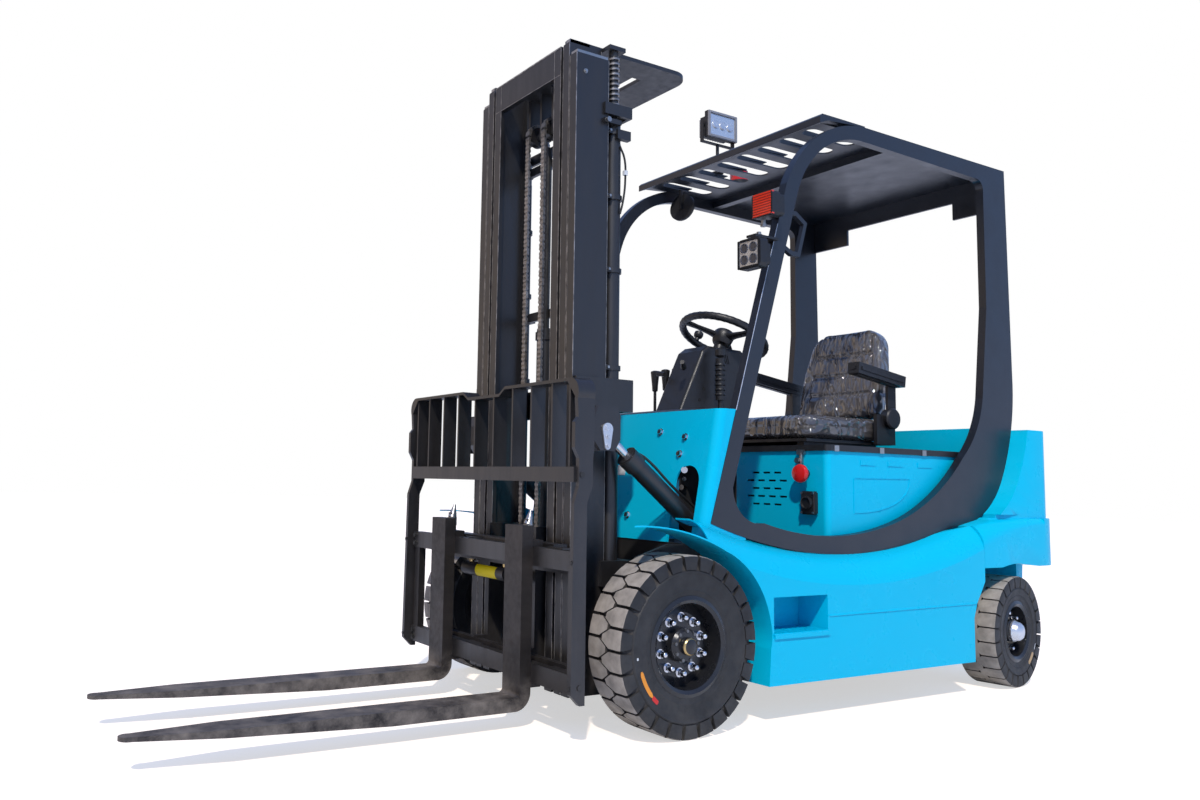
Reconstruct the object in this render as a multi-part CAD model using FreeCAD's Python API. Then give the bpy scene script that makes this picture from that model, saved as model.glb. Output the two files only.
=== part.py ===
"""Four-wheel electric counterbalance forklift with a three-stage mast and a side-shifting fork carriage.

Modelled with X forward (towards the fork tips), Y to the truck's left and Z up from the ground,
with x = 0 at the drive axle. Every shape is moved at the end so that the origin is the centre
of the truck's footprint box on the ground. Millimetres and degrees.
"""
import math
import os

import FreeCAD
import Part
from FreeCAD import Vector

os.makedirs("parts", exist_ok=True)

# Clearances and sheet thicknesses
RUN = 0.1             # radial clearance of a pin or shaft in its bore
SEAT = 0.3            # gap between a piece and what carries it
ROLL = 0.5            # gap between a mast roller and its channel
SHEET = 5.0           # body panel
PLATE = 12.0          # frame and bracket plate

# Wheels and axles
FRONT_TYRE_R = 270.0
FRONT_TYRE_W = 155.0
FRONT_FACE_Y = 613.0          # outer face of the front tyre
FRONT_RIM_R = 150.0           # outer radius of the front rim's lip
REAR_TYRE_R = 212.5
REAR_TYRE_W = 150.0
REAR_RIM_R = 118.0
WHEELBASE = 1704.0
KINGPIN_Y = 425.0
KINGPIN_R = 16.0
REAR_FACE_OUT = 158.0         # from the kingpin to the rear tyre's outer face
REST_STEER = 8.6              # the rear wheels are parked turned by this angle
STEER_MAX = 55.0              # each way from straight ahead
AXLE_R = 55.0
SPINDLE_R = 30.0
REAR_SPINDLE_R = 22.0
AXLE_Z = FRONT_TYRE_R
REAR_AXLE_X = -WHEELBASE
REAR_AXLE_Z = REAR_TYRE_R

# Body
BODY_Y = 604.5                # outside of the lower body
BODY_BOTTOM = 124.5
GUARD_Y = 507.0               # outside of the overhead guard's side frames
GUARD_T = 32.0                # thickness of a side frame
FRAME_Y = 440.0               # outside of the chassis side plates
FLOOR_Z = 520.0
MUDGUARD_TIP = (213.0, 628.0)
REAR_ARCH_X = REAR_AXLE_X + 298.0    # front of the rear wheel arch
SEAM_X = REAR_AXLE_X + 224.0         # body side meets counterweight
SHOULDER_R = 2083.0           # the guard's lower edge is an arc of this radius
SHOULDER_X = -795.0           # with its centre above this place
SHOULDER_Z = 521.0            # and its lowest point at this height
SHOULDER_DROP = 95.0          # how far the shoulder falls from the guard to the body side
STEP_X0, STEP_X1 = -607.0, -356.0
STEP_Z0, STEP_Z1 = 284.0, 400.0
STEP_DEPTH = 130.0

# Cowl in front of the driver
COWL_FOOT_X = -140.0
COWL_FOOT_Z = 560.0
COWL_TOP_X = -225.0
COWL_TOP_Z = 1003.0
COWL_BACK_X = -335.0
COWL_CORNER_R = 30.0
COWL_SLOT_W = 112.0
COWL_SLOT_Z0, COWL_SLOT_Z1 = 605.0, 815.0

# Seat box, lid and seat
BOX_FRONT_X = -790.0
BOX_REAR_X = REAR_AXLE_X + 68.0
WELL_REAR_X = REAR_AXLE_X + 276.0    # rear wall of the battery compartment, ahead of the steered wheels
SHELF_Z = 440.0               # the frame's shelf over the steered axle
BOX_Y = 458.0
BOX_TOP = 885.0
LID_T = 22.0
LID_HINGE_X = BOX_REAR_X + 8.0
LID_OPEN = 60.0
SEAT_FRONT_X = LID_HINGE_X + 673.0
SEAT_DEPTH = 470.0
SEAT_W = 470.0
SEAT_Z = 945.0
CUSHION_H = 95.0
BACK_H = 430.0
BACK_T = 85.0
BACK_LEAN = 12.0

# Counterweight
CW_REAR_X = REAR_AXLE_X - 328.0
CW_TOP = 1005.0
CW_SHELF_Z = 650.0
CW_UPPER_Y = 575.0
CW_ARCH_Z = 478.0
CW_SIDE_BOTTOM = 465.0

# Overhead guard
ROOF_Z = 2101.0
ROOF_FRONT_X = -715.0
ROOF_REAR_X = REAR_AXLE_X - 172.0
ROOF_T = 6.0
LEG_FOOT = (-180.0, 629.0)
LEG_TOP = (-540.0, 1815.0)
LEG_DEPTH = 62.0

# Steering wheel and column
WHEEL_R = 180.0
WHEEL_RIM_R = 13.0
COLUMN_LEAN = 25.0
WHEEL_HUB = (-735.0, 1345.0)

# Mast
MAST_FRONT_X = 227.0
MAST_BACK_X = 93.0
MAST_BOTTOM = 80.0
FLANGE_T = 16.0
WEB_T = 11.0
STAGES = {                    # outer face of the web, flange width, top
    "outer": (305.0, 37.0, 2180.0),
    "middle": (262.0, 34.0, 2230.0),
    "inner": (213.0, 38.0, 2232.0),
}
STAGE_LIFT = 1450.0           # each stage, and the carriage in the inner stage, rises by this much
TILT_FORWARD = 6.0
TILT_BACK = 6.0
LIFT_X = 50.0                 # main lift cylinders behind the outer stage
LIFT_Y = 275.0
LIFT_R = 28.0
LIFT_ROD_R = 18.0
LIFT_FOOT_Z = 365.0
LIFT_BARREL_TOP = 1900.0
SHEAVE_X = 141.0
SHEAVE_Y = 50.0
SHEAVE_Z = 2005.0
SHEAVE_R = 42.0
CARRIAGE_ANCHOR_Z = 480.0
REAR_ANCHOR_Z = 1935.0
MIDDLE_TIES = ((400.0, 460.0), (REAR_ANCHOR_Z - 32, REAR_ANCHOR_Z), (2032.0, 2064.0))    # bottom and top
INNER_TIES = ((84.0, 124.0), (2150.0, 2232.0))
INNER_STEPPED_TIE = (1330.0, 1362.0)
STEP_HALF = 130.0             # half length of the stepped tie's front part
CHAIN_T = 12.0
CHAIN_W = 22.0

# Tilt cylinders
TILT_Y = 385.0
TILT_PIN = (175.0, 920.0)     # at the mast
TILT_REAR = (-330.0, 532.0)   # at the chassis
TILT_BARREL_R = 31.0
TILT_ROD_R = 15.0
TILT_PIN_R = 14.0
TILT_EYE_R = 34.0
TILT_EYE_W = 44.0
EYE_PLAY = 2.5                # radial play of the rod's eye on its pin

# Fork carriage, backrest and forks
FORK_FACE_X = 403.5           # front face of the fork shanks
FORK_T = 40.0
FORK_W = 100.0
FORK_LEN = 1150.0
FORK_Y = 250.0
FORK_TOP = 613.0
FORK_UNDER = 55.0
BAR_T = 30.0
BAR_HALF = 520.0
BARS = {"lower": (139.0, 196.0), "upper": (490.0, 548.0)}
STRAP_Y = 500.0               # upright straps between the two fork bars
SLATS_Y = (62.0, 180.0, 290.0, 405.0, 498.0)
BACKREST_Y = 546.0
BACKREST_TOP = 1058.0
BACKREST_X0, BACKREST_X1 = 318.0, 380.0
SHIFT_RANGE = 75.0

LEFT_RIGHT = (("left", 1), ("right", -1))
SHAPES = {}


def box(x0, x1, y0, y1, z0, z1):
    """Box between two corners, in any order."""
    corner = Vector(min(x0, x1), min(y0, y1), min(z0, z1))
    return Part.makeBox(abs(x1 - x0), abs(y1 - y0), abs(z1 - z0), corner)


def cyl_y(x, z, radius, y0, y1):
    """Cylinder along Y."""
    return Part.makeCylinder(radius, abs(y1 - y0), Vector(x, min(y0, y1), z), Vector(0, 1, 0))


def cyl_z(x, y, radius, z0, z1):
    """Cylinder along Z."""
    return Part.makeCylinder(radius, abs(z1 - z0), Vector(x, y, min(z0, z1)))


def cyl_x(y, z, radius, x0, x1):
    """Cylinder along X."""
    return Part.makeCylinder(radius, abs(x1 - x0), Vector(min(x0, x1), y, z), Vector(1, 0, 0))


def outline(points, to_vector):
    """Closed wire from points; an entry (mid, end) is an arc through mid to end."""
    edges = []
    here = to_vector(points[0])
    for entry in list(points[1:]) + [points[0]]:
        if isinstance(entry[0], tuple):
            middle, end = to_vector(entry[0]), to_vector(entry[1])
            edges.append(Part.Arc(here, middle, end).toShape())
            here = end
        else:
            end = to_vector(entry)
            if end.distanceToPoint(here) > 0.001:
                edges.append(Part.LineSegment(here, end).toShape())
                here = end
    return Part.Wire(edges)


def side_plate(points, y0, y1):
    """Solid with the given outline in X and Z, between two values of Y."""
    low, high = min(y0, y1), max(y0, y1)
    wire = outline(points, lambda p: Vector(p[0], low, p[1]))
    return Part.Face(wire).extrude(Vector(0, high - low, 0))


def plan_plate(points, z0, z1):
    """Solid with the given outline in X and Y, between two heights."""
    wire = outline(points, lambda p: Vector(p[0], p[1], z0))
    return Part.Face(wire).extrude(Vector(0, 0, z1 - z0))


def front_plate(points, x0, x1):
    """Solid with the given outline in Y and Z, between two values of X."""
    wire = outline(points, lambda p: Vector(x0, p[0], p[1]))
    return Part.Face(wire).extrude(Vector(x1 - x0, 0, 0))


def ring_y(points, x, z, y_mid=0.0):
    """Solid of revolution about a line along Y; points are (radius, y)."""
    wire = outline(points, lambda p: Vector(x, y_mid + p[1], z + p[0]))
    return Part.Face(wire).revolve(Vector(x, 0, z), Vector(0, 1, 0), 360)


def fuse(*shapes):
    """One solid from touching shapes."""
    whole = shapes[0]
    for shape in shapes[1:]:
        whole = whole.fuse(shape)
    return whole.removeSplitter()


def mirrored(shape):
    """The same shape on the other side of the truck."""
    return shape.mirror(Vector(0, 0, 0), Vector(0, 1, 0))


def both(shape):
    """A piece and its mirror image, as one compound."""
    return Part.makeCompound([shape, mirrored(shape)])


def side(shape, sign):
    """The shape itself on the left, its mirror image on the right."""
    return shape if sign > 0 else mirrored(shape)


def add(name, shape):
    """Keep a finished node."""
    SHAPES[name] = shape


def shoulder_z(x):
    """Height of the guard's lower edge at x."""
    return SHOULDER_Z + SHOULDER_R - math.sqrt(SHOULDER_R ** 2 - (x - SHOULDER_X) ** 2)


# Tyres and rims
def tyre(radius, width, rim_radius):
    """Tyre about the Y axis at the origin, its outer face at y = 0 and its tread behind it."""
    bulge = 8.0
    return ring_y([
        (rim_radius - 12, -width + 14),
        (rim_radius + 6, -width + 8),
        (((rim_radius + radius) / 2, -width), (radius - 26, -width + 4)),
        (radius - 6, -width + 18),
        ((radius, -width / 2), (radius - 6, -18)),
        (radius - 26, -4),
        (((rim_radius + radius) / 2, 0), (rim_radius + 6, -bulge)),
        (rim_radius - 12, -14),
    ], 0, 0)


def rim(rim_radius, width, bore, disc_y, hub_r, hub_out):
    """Rim, disc and hub about the Y axis; the outer face of the tyre is at y = 0."""
    seat = rim_radius - 12 - SEAT
    barrel = ring_y([
        (seat - 10, -14), (rim_radius - 12 - SEAT, -14), (seat, -width + 14), (seat - 10, -width + 14),
    ], 0, 0)
    lip = ring_y([(seat - 10, -14), (seat, -14), (rim_radius, -SEAT - 8), (rim_radius - 12, -SEAT - 3),
                  (seat - 10, -10)], 0, 0)
    disc = ring_y([(bore, disc_y), (bore, disc_y - 12), (seat - 4, disc_y - 24), (seat - 4, disc_y - 12),
                   (hub_r + 45, disc_y)], 0, 0)
    hub = ring_y([(bore, disc_y - 30), (hub_r, disc_y - 30), (hub_r, disc_y + hub_out),
                  (bore, disc_y + hub_out)], 0, 0)
    cap = ring_y([(0, disc_y + hub_out), (hub_r, disc_y + hub_out), (hub_r - 8, disc_y + hub_out + 10),
                  (0, disc_y + hub_out + 14)], 0, 0)
    return fuse(barrel, lip, disc, hub, cap)


FRONT_DISC_Y = -52.0
FRONT_HUB_R = 52.0
FRONT_HUB_OUT = 22.0
REAR_DISC_Y = -48.0
REAR_HUB_R = 42.0
REAR_HUB_OUT = 20.0


def front_wheels():
    """Drive tyres and rims."""
    rubber = tyre(FRONT_TYRE_R, FRONT_TYRE_W, FRONT_RIM_R)
    steel = rim(FRONT_RIM_R, FRONT_TYRE_W, SPINDLE_R + RUN, FRONT_DISC_Y, FRONT_HUB_R, FRONT_HUB_OUT)
    for name, sign in LEFT_RIGHT:
        for node, shape in (("front_tyre_", rubber), ("front_rim_", steel)):
            placed = shape.copy()
            placed.translate(Vector(0, FRONT_FACE_Y, AXLE_Z))
            add(node + name, side(placed, sign))


def steered(shape, sign):
    """Turn a left-hand shape about its kingpin to the parked steering angle, on either side."""
    placed = side(shape, sign)
    placed = placed.copy()
    placed.rotate(Vector(-WHEELBASE, sign * KINGPIN_Y, 0), Vector(0, 0, 1), REST_STEER)
    return placed


def rear_wheels():
    """Steered tyres, rims and knuckles, parked slightly turned."""
    rubber = tyre(REAR_TYRE_R, REAR_TYRE_W, REAR_RIM_R)
    steel = rim(REAR_RIM_R, REAR_TYRE_W, REAR_SPINDLE_R + RUN, REAR_DISC_Y, REAR_HUB_R, REAR_HUB_OUT)
    place = Vector(-WHEELBASE, KINGPIN_Y + REAR_FACE_OUT, REAR_AXLE_Z)
    face_y = KINGPIN_Y + REAR_FACE_OUT
    hub_back = face_y + REAR_DISC_Y - 30
    spindle_end = face_y + REAR_DISC_Y + REAR_HUB_OUT - 4
    knuckle = fuse(
        cyl_z(-WHEELBASE, KINGPIN_Y, 30, REAR_AXLE_Z - 38, REAR_AXLE_Z + 38),
        cyl_y(-WHEELBASE, REAR_AXLE_Z, 34, KINGPIN_Y + 10, hub_back - 2),
        cyl_y(-WHEELBASE, REAR_AXLE_Z, REAR_SPINDLE_R, hub_back - 2, spindle_end),
        box(-WHEELBASE + 20, -WHEELBASE + 62, KINGPIN_Y - 12, KINGPIN_Y + 12, REAR_AXLE_Z - 36,
            REAR_AXLE_Z - 22),
    ).cut(cyl_z(-WHEELBASE, KINGPIN_Y, KINGPIN_R + RUN, 0, 2 * REAR_AXLE_Z))
    for name, sign in LEFT_RIGHT:
        for node, shape in (("rear_tyre_", rubber), ("rear_rim_", steel)):
            placed = shape.copy()
            placed.translate(place)
            add(node + name, steered(placed, sign))
        add("steering_knuckle_" + name, steered(knuckle, sign))


# Axles
def axles():
    """Drive axle with its motor, and the steered axle's beam."""
    hub_back = FRONT_FACE_Y + FRONT_DISC_Y - 30
    spindle_end = FRONT_FACE_Y + FRONT_DISC_Y + FRONT_HUB_OUT - 4
    half = fuse(
        cyl_y(0, AXLE_Z, AXLE_R, 0, FRAME_Y + 12),
        cyl_y(0, AXLE_Z, 92, FRAME_Y, FRAME_Y + 18),
        cyl_y(0, AXLE_Z, 60, FRAME_Y + 18, hub_back - 2),
        cyl_y(0, AXLE_Z, SPINDLE_R, hub_back - 2, spindle_end),
    )
    gear_case = fuse(
        cyl_y(-20, AXLE_Z, 105, -95, 95),
        box(-330, -60, -120, 120, AXLE_Z - 90, AXLE_Z + 110),
        cyl_x(0, AXLE_Z + 10, 115, -420, -330),
    )
    add("drive_axle", fuse(half, mirrored(half), gear_case))
    yoke_z0, yoke_z1 = REAR_AXLE_Z - 62, REAR_AXLE_Z + 62
    beam = box(-WHEELBASE - 45, -WHEELBASE + 45, -KINGPIN_Y + 70, KINGPIN_Y - 70, yoke_z0, yoke_z1)
    end = fuse(
        box(-WHEELBASE - 28, -WHEELBASE + 28, KINGPIN_Y - 72, KINGPIN_Y, REAR_AXLE_Z + 40, yoke_z1),
        cyl_z(-WHEELBASE, KINGPIN_Y, 28, REAR_AXLE_Z + 40, yoke_z1),
        box(-WHEELBASE - 28, -WHEELBASE + 28, KINGPIN_Y - 72, KINGPIN_Y, yoke_z0, REAR_AXLE_Z - 40),
        cyl_z(-WHEELBASE, KINGPIN_Y, 28, yoke_z0, REAR_AXLE_Z - 40),
        cyl_z(-WHEELBASE, KINGPIN_Y, KINGPIN_R, yoke_z0, yoke_z1),
    )
    bracket = box(-WHEELBASE - 60, -WHEELBASE + 60, -90, 90, yoke_z1 - 5, CW_ARCH_Z - 100)
    add("steer_axle", fuse(beam, end, mirrored(end), bracket))


# Chassis
def chassis():
    """Side plates, floor, bulkhead and cross members."""
    inner = FRAME_Y - PLATE
    plate = side_plate([
        (70, AXLE_Z + AXLE_R + 60), (70, 520), (-60, 560), (-150, 560), (-330, FLOOR_Z), (BOX_REAR_X, FLOOR_Z),
        (BOX_REAR_X, SHELF_Z), (WELL_REAR_X, SHELF_Z), (WELL_REAR_X, BODY_BOTTOM + 20), (-330, BODY_BOTTOM + 20),
        (-80, AXLE_Z - 70), (70, AXLE_Z - 70),
    ], inner, FRAME_Y)
    plate = plate.cut(cyl_y(0, AXLE_Z, AXLE_R + SEAT, 0, 1000))
    floor = box(-330, BOX_FRONT_X - 30, -inner, inner, FLOOR_Z - 8, FLOOR_Z)
    pan = box(BOX_FRONT_X - 20, WELL_REAR_X, -inner, inner, 160, 168)
    shelf = box(WELL_REAR_X, BOX_REAR_X, -inner, inner, SHELF_Z, SHELF_Z + 8)
    wall_front = box(BOX_FRONT_X - 28, BOX_FRONT_X - 20, -inner, inner, 160, FLOOR_Z)
    wall_rear = box(WELL_REAR_X, WELL_REAR_X + 10, -inner, inner, 160, SHELF_Z + 8)
    bulkhead = box(COWL_FOOT_X - 12, COWL_FOOT_X - 4, -inner, inner, AXLE_Z - 68, COWL_FOOT_Z).cut(
        box(COWL_FOOT_X - 30, COWL_FOOT_X + 10, -126, 126, 0, AXLE_Z + 116))
    sill = box(COWL_FOOT_X - 12, -330, -inner, inner, FLOOR_Z - 8, FLOOR_Z)
    ear = fuse(
        box(TILT_REAR[0] - 30, TILT_REAR[0] + 30, TILT_Y + TILT_EYE_W / 2 + 2, inner, FLOOR_Z - 8,
            TILT_REAR[1]),
        cyl_y(TILT_REAR[0], TILT_REAR[1], 30, TILT_Y + TILT_EYE_W / 2 + 2, inner),
    )
    ear_in = fuse(
        box(TILT_REAR[0] - 30, TILT_REAR[0] + 30, TILT_Y - TILT_EYE_W / 2 - 16, TILT_Y - TILT_EYE_W / 2 - 2,
            FLOOR_Z - 8, TILT_REAR[1]),
        cyl_y(TILT_REAR[0], TILT_REAR[1], 30, TILT_Y - TILT_EYE_W / 2 - 16, TILT_Y - TILT_EYE_W / 2 - 2),
    )
    pin = cyl_y(TILT_REAR[0], TILT_REAR[1], TILT_PIN_R, TILT_Y - TILT_EYE_W / 2 - 16, inner)
    pocket = box(TILT_REAR[0] - 45, COWL_FOOT_X - 20, TILT_Y - TILT_EYE_W / 2 - 2, TILT_Y + TILT_EYE_W / 2 + 2,
                 FLOOR_Z - 40, FLOOR_Z + 40)
    whole = fuse(plate, mirrored(plate), floor, pan, shelf, wall_front, wall_rear, bulkhead, sill)
    for sign in (1, -1):
        whole = whole.cut(side(pocket, sign))
        whole = whole.fuse(side(fuse(ear, ear_in, pin), sign))
    add("chassis_frame", whole.removeSplitter())
    add("battery_pack", box(BOX_FRONT_X - 40, WELL_REAR_X + 30, -inner + 25, inner - 25, 168, BOX_TOP - 30))


# Body sides
ARCH = (
    MUDGUARD_TIP,
    ((15.0, 610.0), (-156.0, 553.0)),
    ((-290.0, 450.0), (-348.0, 320.0)),
    ((-353.0, 291.0), (-348.0, 240.0)),
    (-336.0, BODY_BOTTOM),
)


def shoulder_cutter(offset):
    """What is cut away above the shoulder, as a ring about the guard edge's centre."""
    radius = SHOULDER_R + offset
    top = SHOULDER_R - 160
    return ring_y([
        (-top, GUARD_Y - 200), (-radius, GUARD_Y - 200), (-radius, GUARD_Y - 1),
        ((-radius - 26, 562), (-radius - SHOULDER_DROP, BODY_Y - offset)),
        (-radius - SHOULDER_DROP, BODY_Y + 60), (-top, BODY_Y + 60),
    ], SHOULDER_X, SHOULDER_Z + SHOULDER_R)


def cowl_profile(wall):
    """Side outline of the cowl, made smaller by the wall."""
    lean = (COWL_TOP_X - COWL_FOOT_X) / (COWL_TOP_Z - COWL_FOOT_Z)
    foot = COWL_FOOT_X - wall
    top = COWL_TOP_X - wall - lean * wall
    back = COWL_BACK_X - (20 if wall > 0 else 0)
    low = COWL_FOOT_Z - (20 if wall > 0 else 0)
    return [(foot, low), (top, COWL_TOP_Z - wall), (back, COWL_TOP_Z - wall), (back, low)]


def side_skirt():
    """Left body side: skirt, shoulder, step well and front mudguard, as one pressed shell."""
    def solid(wall):
        """The body side as a full solid, made smaller by the wall."""
        block = side_plate([
            (-90, BODY_BOTTOM - 2 * wall), (-90, 700), (SEAM_X + 1, 700), (SEAM_X + 1, 415),
            (REAR_AXLE_X + 279, 336), (REAR_ARCH_X, 284), (REAR_ARCH_X, BODY_BOTTOM - 2 * wall),
        ], FRAME_Y + SEAT, BODY_Y - wall)
        return block.cut(shoulder_cutter(wall))

    tip_x, tip_z = MUDGUARD_TIP
    arch_void = side_plate(list(ARCH) + [(tip_x, BODY_BOTTOM - 50)], 0, 900)
    arch_inner = side_plate([
        (tip_x, tip_z - SHEET),
        ((13.0, 610.0 - SHEET), (-153.0, 553.0 - SHEET)),
        ((-286.0, 448.0), (-343.0, 320.0)),
        ((-348.0, 291.0), (-343.0, 240.0)),
        (-331.0, BODY_BOTTOM - 50), (tip_x, BODY_BOTTOM - 50),
    ], 0, 900)
    guard_front = plan_plate([
        (tip_x, BODY_Y), (60, 495), (-150, FRAME_Y + SEAT), (-400, FRAME_Y + SEAT), (-400, BODY_Y),
    ], 0, 700)
    mudguard = arch_void.cut(arch_inner).common(guard_front)
    shell = solid(0).cut(solid(SHEET)).cut(arch_void)
    rear = box(SEAM_X, SEAM_X + 6, FRAME_Y + SEAT, BODY_Y, 415, 640).common(solid(0))
    well = box(STEP_X0 - SHEET, STEP_X1 + SHEET, BODY_Y - STEP_DEPTH, BODY_Y - 1, STEP_Z0 - SHEET,
               STEP_Z1 + SHEET)
    void = box(STEP_X0, STEP_X1, BODY_Y - STEP_DEPTH + SHEET, BODY_Y + 10, STEP_Z0, STEP_Z1)
    tread = box(STEP_X0 - 4, STEP_X1, BODY_Y - 2, BODY_Y + 6, STEP_Z0 - 14, STEP_Z0)
    inner_wall = box(-200, BOX_FRONT_X + 2, FRAME_Y + SEAT, FRAME_Y + SEAT + SHEET, FLOOR_Z - 20, 700)
    inner_wall = inner_wall.common(solid(0)).cut(arch_void)
    skirt = fuse(shell, mudguard, rear, well.cut(arch_void), inner_wall)
    cowl_room = side_plate(cowl_profile(-SEAT), -GUARD_Y - 3, GUARD_Y + 3)
    box_room = box(BOX_FRONT_X + SEAT, BOX_REAR_X, 0, BOX_Y + SEAT, FLOOR_Z - SEAT, 1000)
    skirt = skirt.cut(void).fuse(tread).cut(guard_room()).cut(cowl_room).cut(box_room)
    return max(skirt.Solids, key=lambda s: s.Volume)


# Cowl
def front_cowl():
    """Leaning front panel with its two cylinder openings, top and short side strips."""
    half = GUARD_Y - 2
    outer = side_plate(cowl_profile(0), -half, half)
    def rounded(block, radius):
        """Block with its two leaning front corners rounded."""
        corners = [e for e in block.Edges
                   if abs(e.tangentAt(e.FirstParameter).y) < 0.01 and abs(e.tangentAt(e.FirstParameter).z) > 0.5
                   and e.CenterOfMass.x > -230]
        return block.makeFillet(radius, corners)

    outer = rounded(side_plate(cowl_profile(0), -half, half), COWL_CORNER_R)
    inner = rounded(side_plate(cowl_profile(SHEET), -half + SHEET, half - SHEET), COWL_CORNER_R - SHEET)
    shell = outer.cut(inner)
    slot_r = COWL_SLOT_W / 2
    slot = fuse(
        box(-600, 100, TILT_Y + 12 - slot_r, TILT_Y + 12 + slot_r, COWL_SLOT_Z0 - 60, COWL_SLOT_Z1 - slot_r),
        cyl_x(TILT_Y + 12, COWL_SLOT_Z1 - slot_r, slot_r, -300, 100),
    ).cut(box(-600, -300, 0, 700, 0, 1200))
    for sign in (1, -1):
        shell = shell.cut(side(guard_room(), sign)).cut(side(slot, sign))
    return max(shell.Solids, key=lambda s: s.Volume)


# Seat box, battery lid and seat
def seat_box():
    """Blue box around the battery: front panel with louvres and two side panels."""
    outer = box(BOX_FRONT_X, BOX_REAR_X, -BOX_Y, BOX_Y, FLOOR_Z, BOX_TOP)
    edges = [e for e in outer.Edges
             if abs(e.CenterOfMass.x - BOX_FRONT_X) < 1 and abs(e.CenterOfMass.z - (FLOOR_Z + BOX_TOP) / 2) < 1]
    outer = outer.makeFillet(22, edges)
    inner = box(BOX_FRONT_X - SHEET, BOX_REAR_X - 10, -BOX_Y + SHEET, BOX_Y - SHEET, 0, 1200)
    edges = [e for e in inner.Edges
             if abs(e.CenterOfMass.x - BOX_FRONT_X + SHEET) < 1 and abs(e.CenterOfMass.z - 600) < 1]
    shell = outer.cut(inner.makeFillet(22 - SHEET, edges))
    louvre_w, louvre_h, pitch_y, pitch_z = 36.0, 7.0, 54.0, 30.0
    for row, count in enumerate((3, 4, 3, 4, 3)):
        z = 805 - row * pitch_z
        for k in range(count):
            y = 172 + (k - (count - 1) / 2) * pitch_y
            shell = shell.cut(box(BOX_FRONT_X - 20, BOX_FRONT_X + 20, y - louvre_w / 2, y + louvre_w / 2,
                                  z - louvre_h / 2, z + louvre_h / 2))
    return shell


def lid_and_seat():
    """Hinged battery lid that carries the seat."""
    lid = box(BOX_FRONT_X + 8, LID_HINGE_X, -BOX_Y - 8, BOX_Y + 8, BOX_TOP + SEAT, BOX_TOP + LID_T)
    edges = [e for e in lid.Edges if abs(e.CenterOfMass.z - BOX_TOP - LID_T / 2) < 2]
    lid = lid.makeFillet(20, edges)
    knuckle = cyl_y(LID_HINGE_X, BOX_TOP + LID_T, 9, -300, 300)
    add("battery_lid", fuse(lid, knuckle))
    rear_x = SEAT_FRONT_X - SEAT_DEPTH
    rail_top = SEAT_Z - 12
    pan_half = SEAT_W / 2 - 30
    rails = fuse(
        box(SEAT_FRONT_X - 30, rear_x + 10, pan_half - 55, pan_half - 20, BOX_TOP + LID_T, rail_top),
        box(SEAT_FRONT_X - 30, rear_x + 10, 20 - pan_half, 55 - pan_half, BOX_TOP + LID_T, rail_top),
        box(SEAT_FRONT_X - 20, rear_x, -pan_half, pan_half, rail_top, SEAT_Z - SEAT),
    )
    arm_len, arm_x = 290.0, rear_x + 30
    cheek = fuse(
        box(rear_x - 20, rear_x + 95, SEAT_W / 2 + 6, SEAT_W / 2 + 22, rail_top, SEAT_Z + 110),
        cyl_y(rear_x + 15, SEAT_Z + 95, 40, SEAT_W / 2 + 6, SEAT_W / 2 + 34),
        box(rear_x - 20, rear_x + 60, SEAT_W / 2 - 60, SEAT_W / 2 + 10, rail_top, SEAT_Z - SEAT),
    )
    post = box(arm_x - 60, arm_x - 10, SEAT_W / 2 + 8, SEAT_W / 2 + 20, SEAT_Z + 60, SEAT_Z + 255)
    arm = box(arm_x - 70, arm_x - 70 + arm_len, SEAT_W / 2 + 6, SEAT_W / 2 + 60, SEAT_Z + 230, SEAT_Z + 275)
    arm.rotate(Vector(arm_x - 40, 0, SEAT_Z + 250), Vector(0, 1, 0), -8)
    left = fuse(cheek, post, arm)
    add("seat_base", fuse(rails, left, mirrored(left)))
    cushion = box(SEAT_FRONT_X, rear_x + 20, -SEAT_W / 2, SEAT_W / 2, SEAT_Z, SEAT_Z + CUSHION_H)
    cushion = cushion.makeFillet(30, [e for e in cushion.Edges
                                      if abs(e.CenterOfMass.z - SEAT_Z - CUSHION_H / 2) < 1])
    add("seat_cushion", cushion)
    back = box(0, -BACK_T, -SEAT_W / 2 + 20, SEAT_W / 2 - 20, 0, BACK_H)
    back = back.makeFillet(40, [e for e in back.Edges if abs(e.CenterOfMass.z - BACK_H) < 1
                                and abs(e.CenterOfMass.x + BACK_T / 2) < 1 or
                                abs(e.CenterOfMass.z - BACK_H / 2) < 1])
    back.rotate(Vector(0, 0, 0), Vector(0, 1, 0), -BACK_LEAN)
    back.translate(Vector(rear_x + 40, 0, SEAT_Z + CUSHION_H - 20))
    under = box(0, -3000, -SEAT_W, SEAT_W, 0, SEAT_Z + CUSHION_H + SEAT)
    add("seat_back", back.cut(under))


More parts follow.
